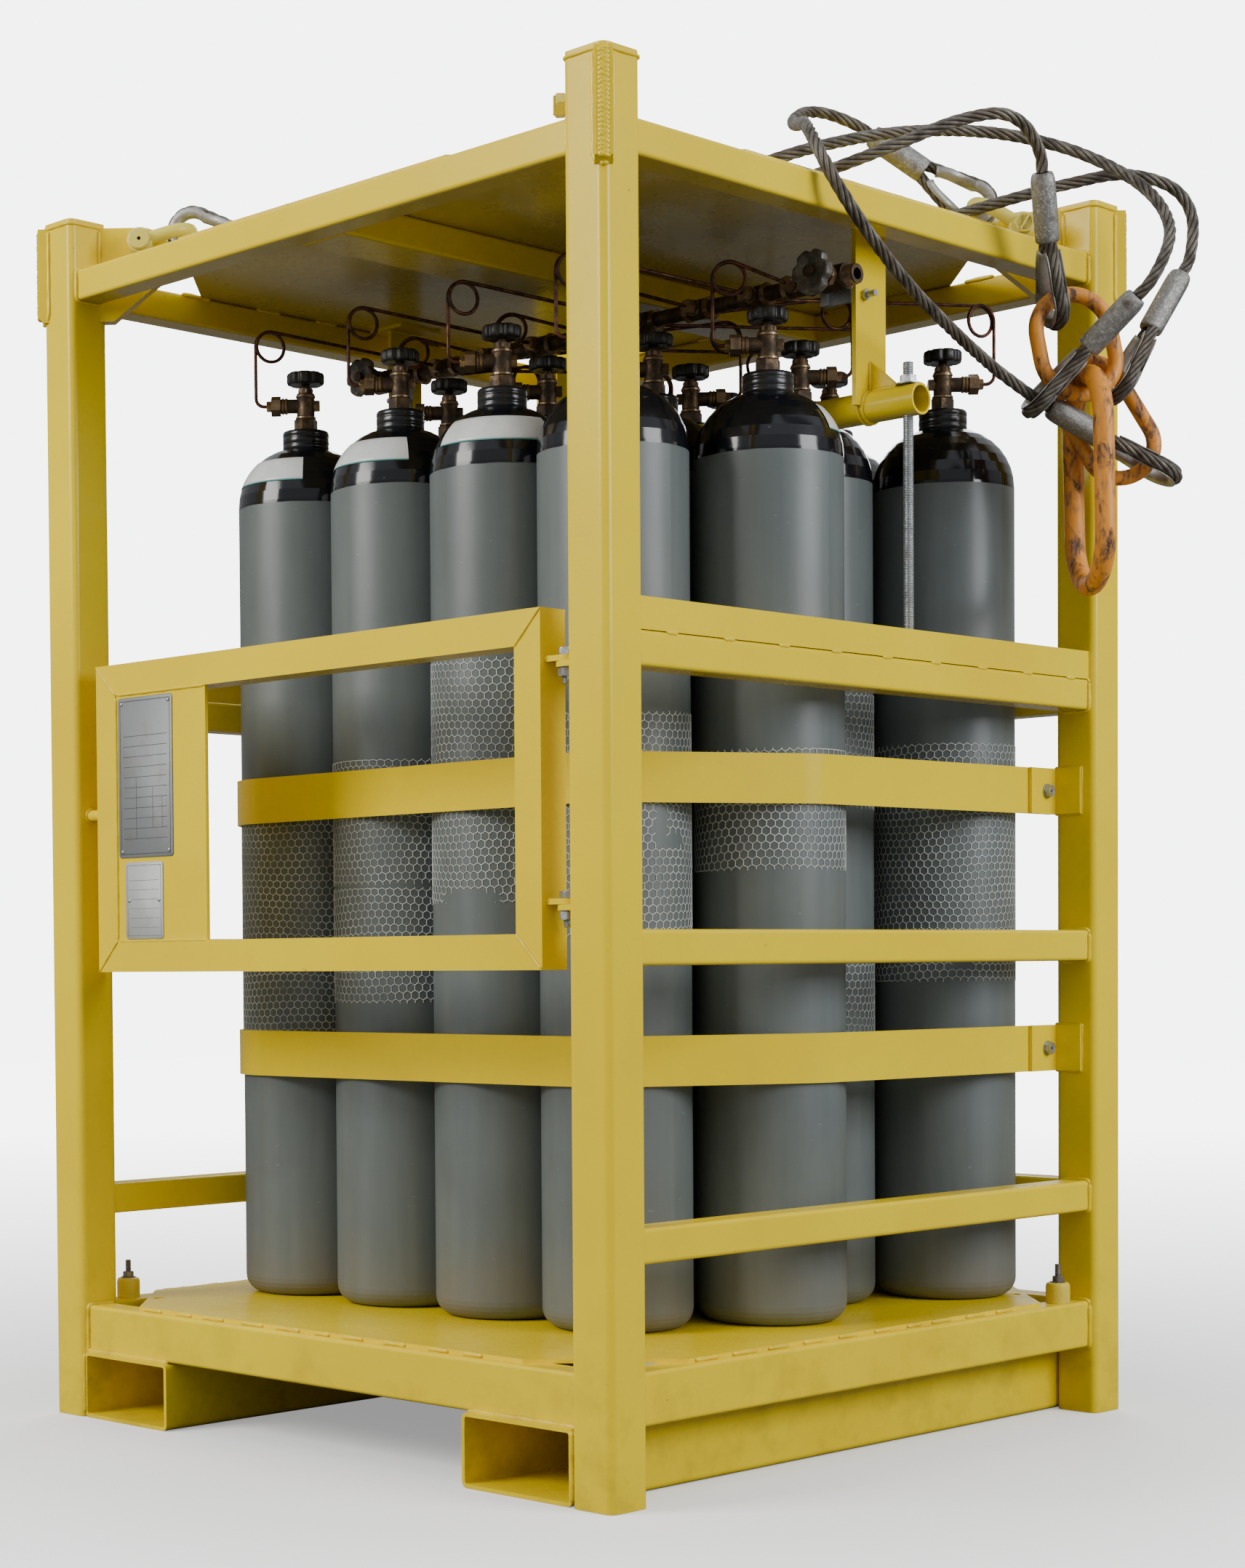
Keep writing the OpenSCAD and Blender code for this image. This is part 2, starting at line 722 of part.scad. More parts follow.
module hanger_plate() {
    top = rail_top - hanger_pad;
    color("gold") difference() {
        union() {
            translate([hanger_x - hanger_t/2, pack_y - hanger_w/2, clamp_z])
                cube([hanger_t, hanger_w, top - clamp_z]);
            translate([hanger_x - hanger_pad_l/2, pack_y - hanger_w/2 - 9.5, top])
                cube([hanger_pad_l, hanger_pad_w, hanger_pad]);
            translate([hanger_x + hanger_t/2, pack_y + hanger_t/2, clamp_z + clamp_r - 2])
                rotate([90, 0, 0]) linear_extrude(hanger_t)
                    polygon([[0, 0], [gusset_l, 0], [gusset_l, 2], [0, gusset_h + 2]]);
        }
        translate([0, pack_y, clamp_z]) rod_along_x(clamp_r, 0, frame_w);
        translate([0, clip_bolt_y, clip_bolt_z]) rod_along_x(clip_bolt_r, 0, frame_w);
    }
}

module hanger_plates() {
    hanger_plate();
    mirror([1, 0, 0]) hanger_plate();
}

module tie_rods() {
    seat = clamp_z + clamp_r;
    color("silver") for (s = [-1, 1]) translate([s*rod_x, pack_y, 0]) {
        translate([0, 0, rod_bottom]) cylinder(d = rod_d, h = rod_top - rod_bottom);
        translate([0, 0, seat]) hexagon(rod_nut_r, rod_nut_h);
        translate([0, 0, guard_top]) hexagon(rod_nut_r, rod_nut_h);
    }
}

module net_sleeves() {
    color("white") for (k = [0:len(net_fronts) - 1]) {
        p = bottles_at[net_fronts[k]];
        s = net_spans[k];
        translate([p[0], p[1], s[0]]) difference() {
            cylinder(r = bottle_r + net_t, h = s[1]);
            translate([0, 0, -1]) cylinder(r = bottle_r, h = s[1] + 2);
        }
    }
}

module bottle() {
    foot = [for (a = [270:15:360]) [bottle_r - foot_round + foot_round*cos(a),
                                    floor_top + foot_round + foot_round*sin(a)]];
    shoulder_end = acos((collar_d/2 - shoulder_in)/shoulder_r);
    shoulder = [for (k = [0:8]) let (a = shoulder_end*k/8)
        [shoulder_in + shoulder_r*cos(a), body_top + shoulder_r*sin(a)]];
    rotate_extrude() polygon(concat([[0, floor_top]], foot, shoulder,
        [[collar_d/2, collar_top - 3], [collar_d/2 - 3, collar_top], [0, collar_top]]));
}

module bottles() {
    color("dimgray") for (p = bottles_at) translate([p[0], p[1], 0]) bottle();
}

// Which way a bottle's outlet looks: the front rows forward, the back rows back
function outlet_turn(row) = is_front(row) ? 225 : 45;

module bottle_valve(row) {
    hexagon_top = collar_top + valve_hex_h;
    translate([0, 0, collar_top]) hexagon(valve_hex_r, valve_hex_h);
    translate([0, 0, hexagon_top]) cylinder(r = valve_r, h = valve_column_h);
    translate([0, 0, column_top]) cylinder(r = valve_r - 3, h = gland_h*0.6);
    translate([0, 0, column_top]) cylinder(r = spindle_r + 3, h = gland_h);
    translate([0, 0, column_top]) cylinder(r = spindle_r, h = spindle_top - column_top + spindle_nut_h/2);
    translate([0, 0, spindle_top]) hexagon(spindle_nut_r, spindle_nut_h);
    rotate([0, 0, outlet_turn(row)]) translate([0, 0, outlet_z]) rod_along_x(outlet_r, 0, outlet_reach);
}

module bottle_valves() {
    color("peru") for (p = bottles_at) translate([p[0], p[1], 0]) bottle_valve(p[2]);
}

module outlet_nuts() {
    color("goldenrod") for (p = bottles_at) translate([p[0], p[1], outlet_z])
        rotate([0, 0, outlet_turn(p[2])]) translate([outlet_reach, 0, 0]) rotate([0, 90, 0])
            hexagon(nut_r, nut_reach - outlet_reach);
}

// A piece of a round tube that starts on +X of its circle and turns to +Y
module tube_arc(r, turn, tube) {
    rotate_extrude(angle = turn) translate([r, 0]) circle(r = tube);
}

// One tube: out of the nut, up and over to its port, with its loop beside it
module pigtail(p, port_x) {
    turn = outlet_turn(p[2]);
    side = is_front(p[2]) ? -1 : 1;
    riser = [p[0] + riser_reach*cos(turn), p[1] + riser_reach*sin(turn)];
    port = [port_x, manifold_y + side*port_reach];
    run = atan2(port[1] - riser[1], port[0] - riser[0]);
    reach = norm(port - riser) - loop_r;
    drop = loop_z - manifold_z;
    leave = atan2(-drop, reach) + acos(loop_r/norm([reach, drop]));
    translate([p[0], p[1], outlet_z]) rotate([0, 0, turn]) {
        rod_along_x(tube_r, nut_reach, riser_reach - bend_r - seam);
        translate([riser_reach - bend_r, 0, bend_r]) rotate([90, 0, 0])
            rotate([0, 0, -90]) tube_arc(bend_r, 90, tube_r);
    }
    translate([riser[0], riser[1], outlet_z + bend_r + seam])
        cylinder(r = tube_r, h = loop_z - outlet_z - bend_r - 2*seam);
    translate([riser[0], riser[1], loop_z]) rotate([0, 0, run]) translate([loop_r, 0, 0])
        rotate([90, 0, 0]) {
            rotate([0, 0, leave]) tube_arc(loop_r, 180 - leave, tube_r);
            rotate([0, 0, leave]) translate([loop_r, -seam, 0]) rotate([90, 0, 0])
                cylinder(r = tube_r, h = sqrt(reach*reach + drop*drop - loop_r*loop_r) - 1);
            translate([0, 0, loop_step]) tube_arc(loop_r, 360, tube_r);
        }
}

module pigtails() {
    fronts = [for (i = [0:row_bottles - 1]) for (row = [0, 1]) bottles_at[row*row_bottles + i]];
    backs = [for (i = [0:row_bottles - 1]) for (row = [2, 3]) bottles_at[row*row_bottles + i]];
    color("sienna") for (k = [0:len(fronts) - 1]) {
        pigtail(fronts[k], front_ports[k]);
        pigtail(backs[k], back_ports[k]);
    }
}

module manifold_pipe() {
    color("saddlebrown") translate([0, manifold_y, manifold_z]) {
        rod_along_x(manifold_r, valve_body_l/2 - valve_x, valve_x - valve_body_l/2);
        for (x = all_ports) translate([x, 0, 0]) {
            rod_along_x(manifold_r + 4, -20, 20);
            if (x != port_end) rotate([90, 0, 0]) cylinder(r = 10, h = port_reach);
            if (x != -port_end) rotate([-90, 0, 0]) cylinder(r = 10, h = port_reach);
        }
    }
}

module manifold_valve() {
    translate([valve_x, manifold_y, manifold_z]) difference() {
        union() {
            rod_along_x(valve_body_r, -valve_body_l/2, valve_body_l/2);
            rod_along_x(valve_outlet_r, 0, valve_body_l/2 + valve_outlet_l);
            rotate([90, 0, 0]) cylinder(r = bonnet_r, h = manifold_y - bonnet_end);
            rotate([90, 0, 0]) cylinder(r = big_spindle_r, h = manifold_y - big_wheel_y + side_gap + 2);
            rotate([90, 0, 0]) translate([0, 0, manifold_y - big_wheel_y + side_gap])
                cylinder(r = 9, h = 4);
        }
        rod_along_x(valve_bore_r, 4, valve_body_l/2 + valve_outlet_l + 1);
    }
}

module manifold_valves() {
    color("saddlebrown") {
        manifold_valve();
        mirror([1, 0, 0]) manifold_valve();
    }
}

module manifold_clip() {
    plate_x = hanger_x - hanger_t/2 - clip_t;
    difference() {
        union() {
            translate([clip_x - clip_w/2, manifold_y, manifold_z]) rod_along_x(manifold_r + 6, 0, clip_w);
            translate([clip_x - clip_w/2, manifold_y + 14, manifold_z - 34]) cube([clip_w, 14, 40]);
            translate([clip_x - clip_w/2, manifold_y + 22, clip_bolt_z - 12])
                cube([plate_x - clip_x + clip_w/2 + clip_t, clip_t, 24]);
            translate([plate_x, manifold_y + 22, clip_bolt_z - 12])
                cube([clip_t, clip_bolt_y - manifold_y - 10, 24]);
        }
        translate([0, manifold_y, manifold_z]) rod_along_x(manifold_r, 0, valve_x);
        translate([0, clip_bolt_y, clip_bolt_z]) rod_along_x(clip_bolt_r, 0, frame_w);
    }
    translate([0, clip_bolt_y, clip_bolt_z]) {
        rod_along_x(clip_bolt_r, plate_x - 8, hanger_x + 26);
        translate([plate_x - 7, 0, 0]) rotate([0, 90, 0]) hexagon(9, 7);
        translate([hanger_x + hanger_t/2, 0, 0]) rotate([0, 90, 0]) hexagon(9, 7);
    }
}

module manifold_clips() {
    color("silver") {
        manifold_clip();
        mirror([1, 0, 0]) manifold_clip();
    }
}

// A handwheel with scalloped lobes and a bore for its spindle
module handwheel(d, h, lobes, bore) {
    difference() {
        cylinder(d = d, h = h);
        for (k = [0:lobes - 1]) rotate([0, 0, (k + 0.5)*360/lobes]) translate([d/2 + d*0.05, 0, -1])
            cylinder(r = d*0.11, h = h + 2);
        translate([0, 0, -1]) cylinder(r = bore, h = h + 2);
    }
}

module valve_wheel(i) {
    p = bottles_at[i];
    color("black") translate([p[0], p[1], wheel_z]) rotate([0, 0, 13*i])
        handwheel(wheel_d, wheel_h, wheel_lobes, spindle_r + run_gap);
}

module manifold_wheel(side) {
    color("gray") translate([side*valve_x, big_wheel_y + big_wheel_h, manifold_z]) rotate([90, 0, 0])
        handwheel(big_wheel_d, big_wheel_h, 6, big_spindle_r + run_gap);
}

module manifold_wheel_left() {
    manifold_wheel(-1);
}

module manifold_wheel_right() {
    manifold_wheel(1);
}

// A bow shackle: its pin at the origin, its bow along X, the pin along Y
module shackle() {
    nut_at = shackle_leg + shackle_bar_r;
    for (s = [-1, 1]) translate([0, s*shackle_leg, 0]) {
        rod_along_x(shackle_bar_r, 0, shackle_crown - shackle_leg);
        rotate([90, 0, 0]) cylinder(r = shackle_ear_r, h = 2*shackle_bar_r, center = true);
    }
    translate([shackle_crown - shackle_leg, 0, 0]) rotate([0, 0, -90])
        rotate_extrude(angle = 180) translate([shackle_leg, 0]) circle(r = shackle_bar_r);
    rotate([90, 0, 0]) cylinder(r = shackle_pin_r, h = 2*nut_at + 2*shackle_nut_h + 8, center = true);
    for (s = [0, 180]) rotate([90, 0, s]) translate([0, 0, nut_at]) hexagon(shackle_nut_r, shackle_nut_h);
}

module shackles() {
    color("gold") for (k = [0:3]) {
        a = shackle_turns[k];
        out = (eye_corner - eye_hole_in);
        rotate([0, 0, a]) translate([-out, 0, eye_pin_z]) rotate([0, -shackle_tilts[k], 0]) shackle();
    }
}

// Where the rope's straight part leaves the round of a thimble
strand_off = rope_r + 0.3;
reach_angle = acos(thimble_r/norm([throat, strand_off])) + atan(strand_off/throat);

module eye_rope() {
    rotate([0, 0, reach_angle]) tube_arc(thimble_r, 360 - 2*reach_angle, rope_r);
    for (s = [0, 1]) mirror([0, s, 0]) rotate([0, 0, reach_angle]) translate([thimble_r, 0, 0])
        rotate([90, 0, 0]) cylinder(r = rope_r, h = throat);
}

module thimble_section() {
    base = thimble_r - rope_r;
    translate([base - 3.5, -rope_r - 2.5]) square([3.5, 2*rope_r + 5]);
    for (s = [-1, 1]) translate([base - 3.5, s*(rope_r + 1.25) - 1.25]) square([rope_r + 3.5, 2.5]);
}

module thimble() {
    rotate([0, 0, reach_angle]) rotate_extrude(angle = 360 - 2*reach_angle) thimble_section();
    for (s = [0, 1]) mirror([0, s, 0]) rotate([0, 0, reach_angle]) rotate([90, 0, 0])
        linear_extrude(60) thimble_section();
}

module ferrule() {
    translate([throat, 0, 0]) rod_along_x(ferrule_r, 0, ferrule_l);
}

module sling_eyes() {
    color("dimgray") for (e = eyes) aimed(e[0], e[1], e[2]) difference() {
        eye_rope();
        translate([throat, -ferrule_r, -ferrule_r]) cube([ferrule_l, 2*ferrule_r, 2*ferrule_r]);
    }
}

module thimbles() {
    color("silver") for (e = eyes) aimed(e[0], e[1], e[2]) thimble();
}

module ferrules() {
    color("lightgray") for (e = eyes) aimed(e[0], e[1], e[2]) ferrule();
}

// A tube swept along a route, with one ring of points at each of its points
module swept(route, r, sides) {
    last = len(route) - 1;
    way = [for (k = [0:last]) unit(route[min(k + 1, last)] - route[max(k - 1, 0)])];
    side = [for (k = [0:last]) unit(cross(way[k], [0.31, 0.17, 0.94]))];
    rings = [for (k = [0:last]) for (j = [0:sides - 1]) let (a = 360*j/sides)
        route[k] + r*cos(a)*side[k] + r*sin(a)*cross(way[k], side[k])];
    walls = [for (k = [0:last - 1]) for (j = [0:sides - 1])
        [k*sides + j, k*sides + (j + 1)%sides, (k + 1)*sides + (j + 1)%sides, (k + 1)*sides + j]];
    ends = [[for (j = [0:sides - 1]) sides - 1 - j], [for (j = [0:sides - 1]) last*sides + j]];
    polyhedron(concat(rings), [for (f = concat(walls, ends)) [for (j = [len(f) - 1:-1:0]) f[j]]]);
}

// A whole leg: straight out of one ferrule, along its points, into the other
function out_of(e, d) = e[0] + unit(e[1])*(throat + ferrule_l + d);
function leg(from, middle, to) = concat([out_of(from, 0), out_of(from, 25)], middle,
                                        [out_of(to, 25), out_of(to, 0)]);

module sling_leg_right() {
    color("dimgray") swept(leg(eyes[0], leg_right, eyes[4]), rope_r, 10);
}

module sling_leg_near() {
    color("dimgray") swept(leg(eyes[1], leg_near, eyes[5]), rope_r, 10);
}

module sling_leg_left() {
    color("dimgray") swept(leg(eyes[2], leg_left, eyes[6]), rope_r, 10);
}

module sling_leg_far() {
    color("dimgray") swept(leg(eyes[3], leg_far, eyes[7]), rope_r, 10);
}

// An oval link in the XY plane, its length along X
module oval_link(half_w, half_l, bar) {
    run = half_l - half_w;
    for (s = [-1, 1]) translate([0, s*half_w, 0]) rod_along_x(bar, -run, run);
    for (s = [0, 180]) rotate([0, 0, s]) translate([run, 0, 0]) rotate([0, 0, -90])
        rotate_extrude(angle = 180) translate([half_w, 0]) circle(r = bar, $fn = 32);
}

module placed_link(p) {
    aimed(p[0], p[1], p[2]) oval_link(p[3], p[4], p[5]);
}

module master_link() {
    color("darkorange") placed_link(link_places[0]);
}

module sling_links() {
    color("darkorange") for (k = [1, 2]) placed_link(link_places[k]);
}

corner_posts();
eye_plates();
top_rails();
roof_plate();
roof_beam();
base_rails();
floor_plate();
fork_pockets();
guard_rails();
upstand_bars();
earth_bosses();
gate_stop();
post_hinge_lugs();
hinge_bolts();
bands();
band_cleats();
band_bolts();
clamp_bar();
hanger_plates();
tie_rods();
net_sleeves();
bottles();
bottle_valves();
outlet_nuts();
pigtails();
manifold_pipe();
manifold_valves();
manifold_clips();
manifold_wheel_left();
manifold_wheel_right();
gate_frame();
gate_panel();
gate_lugs();
data_plates();
shackles();
sling_leg_right();
sling_leg_near();
sling_leg_left();
sling_leg_far();
sling_eyes();
thimbles();
ferrules();
master_link();
sling_links();
for (i = [0:rows*row_bottles - 1])
    valve_wheel(i);
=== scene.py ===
"""Gas cylinder rack: sixteen steel bottles in a yellow welded lifting frame with a swing gate,
one brass manifold and a four-leg wire rope sling. Every length is in metres, in the part's own frame."""
import bpy
import math
import random
from mathutils import Vector, Matrix


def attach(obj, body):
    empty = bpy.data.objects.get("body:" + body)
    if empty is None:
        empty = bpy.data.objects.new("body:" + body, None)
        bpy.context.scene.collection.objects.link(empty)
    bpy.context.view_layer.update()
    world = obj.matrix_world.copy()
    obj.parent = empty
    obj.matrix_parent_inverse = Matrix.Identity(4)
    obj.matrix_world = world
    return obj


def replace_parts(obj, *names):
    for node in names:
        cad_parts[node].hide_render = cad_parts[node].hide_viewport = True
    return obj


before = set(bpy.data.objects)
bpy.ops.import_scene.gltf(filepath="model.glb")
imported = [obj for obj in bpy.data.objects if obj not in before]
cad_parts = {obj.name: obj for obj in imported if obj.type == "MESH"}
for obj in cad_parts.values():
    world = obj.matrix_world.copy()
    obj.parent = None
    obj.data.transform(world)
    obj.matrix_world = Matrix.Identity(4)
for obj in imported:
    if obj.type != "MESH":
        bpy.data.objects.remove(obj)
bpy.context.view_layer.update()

# The welded frame: square posts, rails, roof and floor plates of mild steel, sprayed as one piece
# with glossy lemon-yellow enamel. Chips show grey primer, and grime gathers low down and on top;
# faces turned downward carry a painted shade, a dull olive.


def effect(name, given, put_out):
    """A shader node group with these named inputs, and outputs of these kinds."""
    tree = bpy.data.node_groups.new(name, "ShaderNodeTree")
    for socket, value in given.items():
        kind = "NodeSocketColor" if isinstance(value, tuple) else "NodeSocketFloat"
        tree.interface.new_socket(socket, in_out="INPUT", socket_type=kind).default_value = value
    for socket, kind in put_out.items():
        tree.interface.new_socket(socket, in_out="OUTPUT", socket_type="NodeSocket" + kind)
    return tree, tree.nodes.new("NodeGroupInput").outputs, tree.nodes.new("NodeGroupOutput").inputs


def put(tree, kind, fed, **settings):
    """A node in a tree: fed gives each input a value or another node's output."""
    made = tree.nodes.new("ShaderNode" + kind)
    for key, value in settings.items():
        setattr(made, key, value)
    for key, value in fed.items():
        if isinstance(value, bpy.types.NodeSocket):
            tree.links.new(value, made.inputs[key])
        else:
            made.inputs[key].default_value = value
    return made


def blended(tree, share, first, second):
    """One colour over another by a share, as an output."""
    made = put(tree, "Mix", {0: share}, data_type="RGBA")
    for index, value in ((6, first), (7, second)):
        if isinstance(value, bpy.types.NodeSocket):
            tree.links.new(value, made.inputs[index])
        else:
            made.inputs[index].default_value = value
    return made.outputs[2]


def reckoned(tree, operation, first, second=0.0, third=0.0):
    """The result of one sum, as an output."""
    return put(tree, "Math", {0: first, 1: second, 2: third}, operation=operation).outputs[0]


def graded(tree, value, low, high, to_low=0.0, to_high=1.0):
    """A value stretched from one span to another and held at its ends, as an output."""
    fed = {"Value": value, "From Min": low, "From Max": high, "To Min": to_low, "To Max": to_high}
    return put(tree, "MapRange", fed).outputs[0]


enamel_wear, given, shown = effect(
    "enamel_wear",
    {"Enamel": (0.8, 0.6, 0.02, 1), "Faded": (0.7, 0.5, 0.02, 1), "Bare": (0.2, 0.19, 0.17, 1),
     "Grime": (0.1, 0.08, 0.04, 1), "Under": (0.1, 0.08, 0.04, 1), "Under Share": 0.0, "Chips": 0.5,
     "Grime Share": 0.4, "Gloss": 0.3, "Peel": 0.3},
    {"Colour": "Color", "Roughness": "Float", "Height": "Float"})
spot = put(enamel_wear, "TexCoord", {}).outputs["Object"]
clouds = put(enamel_wear, "TexNoise", {"Vector": spot, "Scale": 3.1, "Detail": 3.0}).outputs["Fac"]
smears = put(enamel_wear, "TexNoise",
             {"Vector": spot, "Scale": 11.0, "Detail": 8.0, "Roughness": 0.68}).outputs["Fac"]
flecks = put(enamel_wear, "TexNoise",
             {"Vector": spot, "Scale": 74.0, "Detail": 4.0, "Roughness": 0.62}).outputs["Fac"]
peel = put(enamel_wear, "TexNoise", {"Vector": spot, "Scale": 210.0, "Detail": 1.0}).outputs["Fac"]
height_up = put(enamel_wear, "SeparateXYZ", {0: spot}).outputs["Z"]
coat = blended(enamel_wear, graded(enamel_wear, clouds, 0.35, 0.7), given["Enamel"], given["Faded"])
low_down = graded(enamel_wear, height_up, 0.0, 0.32, 1.0, 0.16)
facing = put(enamel_wear, "SeparateXYZ",
             {0: put(enamel_wear, "NewGeometry", {}).outputs["Normal"]}).outputs["Z"]
facing_up = graded(enamel_wear, facing, 0.4, 0.95, 0.0, 0.55)
# painted shade: faces turned downward blend toward a dull olive that stands in for the shadow under the roof
# and rails, varied a little by the clouds
facing_down = graded(enamel_wear, facing, -0.95, -0.5, 1.0, 0.0)
painted_underside_shade = reckoned(enamel_wear, "MULTIPLY",
                  reckoned(enamel_wear, "MULTIPLY", facing_down, given["Under Share"]),
                  graded(enamel_wear, clouds, 0.3, 0.7, 0.75, 1.0))
settled = reckoned(enamel_wear, "MAXIMUM", low_down, facing_up)
grime = reckoned(enamel_wear, "MULTIPLY", graded(enamel_wear, smears, 0.48, 0.74),
                 reckoned(enamel_wear, "MULTIPLY", settled, given["Grime Share"]))
coat = blended(enamel_wear, painted_underside_shade, coat, given["Under"])
coat = blended(enamel_wear, grime, coat, given["Grime"])
worn = reckoned(enamel_wear, "MULTIPLY", graded(enamel_wear, flecks, 0.715, 0.735),
                graded(enamel_wear, smears, 0.55, 0.6))
worn = reckoned(enamel_wear, "MULTIPLY", worn, given["Chips"])
roughened = reckoned(enamel_wear, "MULTIPLY_ADD", smears, 0.16,
                     reckoned(enamel_wear, "MULTIPLY", grime, 0.5))
relief = reckoned(enamel_wear, "SUBTRACT", reckoned(enamel_wear, "MULTIPLY", peel, given["Peel"]),
                  reckoned(enamel_wear, "MULTIPLY", worn, 0.8))
for socket, output in (("Colour", blended(enamel_wear, worn, coat, given["Bare"])),
                       ("Roughness", reckoned(enamel_wear, "ADD", given["Gloss"], roughened)),
                       ("Height", relief)):
    enamel_wear.links.new(output, shown[socket])


def finish_with(name, skin, values, bump=0.0004, **fixed):
    """A material whose colour, roughness and bump come from an effect; fixed values go on the shader."""
    made = bpy.data.materials.new(name)
    made.use_nodes = True
    tree = made.node_tree
    shader = tree.nodes["Principled BSDF"]
    for key, value in fixed.items():
        shader.inputs[key.replace("_", " ")].default_value = value
    source = put(tree, "Group", {}, node_tree=skin)
    for key, value in values.items():
        source.inputs[key].default_value = value
    for key, socket in (("Colour", "Base Color"), ("Roughness", "Roughness"), ("Metal", "Metallic")):
        if key in source.outputs:
            tree.links.new(source.outputs[key], shader.inputs[socket])
    relief = put(tree, "Bump", {"Height": source.outputs["Height"], "Distance": bump, "Strength": 1.0})
    tree.links.new(relief.outputs["Normal"], shader.inputs["Normal"])
    return made


lemon = {"Enamel": (0.90, 0.67, 0.0, 1), "Faded": (0.84, 0.60, 0.0, 1),
         "Bare": (0.16, 0.12, 0.05, 1), "Grime": (0.21, 0.13, 0.02, 1)}
# the frame's enamel carries a strong painted shade, a dull olive, on its downward faces
yellow_enamel = finish_with("yellow_enamel", enamel_wear,
                            {**lemon, "Under": (0.19, 0.165, 0.060, 1), "Under Share": 0.72,
                             "Chips": 0.75, "Grime Share": 0.42, "Gloss": 0.2, "Peel": 0.3},
                            Coat_Weight=0.12, Coat_Roughness=0.1, Specular_IOR_Level=0.28)


def clothe(node, material):
    """A node of the part takes a material in place of its plain one."""
    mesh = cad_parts[node].data
    mesh.materials.clear()
    mesh.materials.append(material)


for node in ("corner_posts", "eye_plates", "top_rails", "roof_plate", "roof_beam", "base_rails",
             "floor_plate", "fork_pockets", "guard_rails", "upstand_bars", "gate_stop",
             "post_hinge_lugs", "bands", "band_cleats", "clamp_bar", "hanger_plates", "gate_frame",
             "gate_panel", "gate_lugs", "shackles"):
    clothe(node, yellow_enamel)


def piece(name, points, faces, material, body, slot, smooth=True):
    """A mesh of its own that rides on a body of the part."""
    mesh = bpy.data.meshes.new(name)
    mesh.from_pydata(points, [], faces)
    mesh.materials.append(material)
    if smooth:
        mesh.shade_smooth()
    made = bpy.data.objects.new(name, mesh)
    bpy.context.scene.collection.objects.link(made)
    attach(made, body)
    return made


# The weld beads: hand-laid fillets of weld metal at every joint of the frame, painted over with it.
# Each is a rippled, slightly uneven string, laid where the tubes and plates of the part meet.
chance = random.Random(41)


def resampled(path, step):
    """Points a step apart along a path of points."""
    path = [Vector(p) for p in path]
    out, carry = [path[0]], 0.0
    for start, end in zip(path, path[1:]):
        length = (end - start).length
        at = step - carry
        while at < length:
            out.append(start.lerp(end, at/length))
            at += step
        carry = length - (at - step)
    return out + [path[-1]]


def lay_bead(store, path, radius, ripple=0.0042):
    """One bead along a path, added to a store of points and faces."""
    spine = resampled(path, ripple/2)
    if len(spine) < 3:
        return
    points, faces = store
    first, sides = len(points), 6
    wander = chance.random()*6
    for index, centre in enumerate(spine):
        way = (spine[min(index + 1, len(spine) - 1)] - spine[max(index - 1, 0)]).normalized()
        aside = way.cross(Vector((0.31, 0.52, 0.79))).normalized()
        upright = way.cross(aside)
        end = min(index, len(spine) - 1 - index)
        swell = radius*(1.0 + (0.16 if index % 2 else -0.10) + 0.12*math.sin(wander + index*0.31))
        swell *= min(1.0, 0.35 + 0.3*end)
        for side in range(sides):
            angle = math.tau*side/sides
            points.append(centre + swell*(math.cos(angle)*aside + math.sin(angle)*upright))
    for ring in range(len(spine) - 1):
        for side in range(sides):
            a, b = first + ring*sides + side, first + ring*sides + (side + 1) % sides
            faces.append((a, b, b + sides, a + sides))
    faces.append(tuple(first + side for side in reversed(range(sides))))
    faces.append(tuple(first + (len(spine) - 1)*sides + side for side in range(sides)))


def round_tube(centre, across, up, width, height, corner):
    """The closed outline of a rounded tube's end, as a path."""
    centre, across, up = Vector(centre), Vector(across), Vector(up)
    path = []
    for quarter, (x, y) in enumerate(((1, 1), (-1, 1), (-1, -1), (1, -1))):
        for step in range(5):
            angle = math.radians(90*quarter + 22.5*step)
            path.append(centre + across*(x*(width/2 - corner) + corner*math.cos(angle))
                        + up*(y*(height/2 - corner) + corner*math.sin(angle)))
    return path + [path[0]]


X, Y, Z = (1, 0, 0), (0, 1, 0), (0, 0, 1)
post_face, rail_line, rail_size, tube_corner = 0.549, 0.588, 0.052, 0.007
top_level, base_level, base_rail_size = 1.860, 0.146, 0.078
guard_tops, band_levels = (0.381, 0.790, 1.197), (0.560, 0.980)
hinge_x, hinge_y, hinge_levels = 0.519, -0.588, (1.158, 0.825)
clamp_y, clamp_level, clamp_size, hanger_faces, pad_level = 0.097, 1.5913, 0.0490, (0.5105, 0.5195), 1.8785
cap_middle, cap_level, cap_size = 0.587, 1.9600, 0.0772
seam_top, weave_low, weave_pitch, weave_half = 1.955, 1.8150, 0.0031, 0.0062


def rail_end(a, b, level, height, along_x):
    """The outline of a rail's end against the post that stands on the sides a and b of the frame."""
    face = post_face - 0.001
    if along_x:
        return round_tube((a*face, b*rail_line, level), Y, Z, rail_size, height, tube_corner)
    return round_tube((a*rail_line, b*face, level), X, Z, rail_size, height, tube_corner)


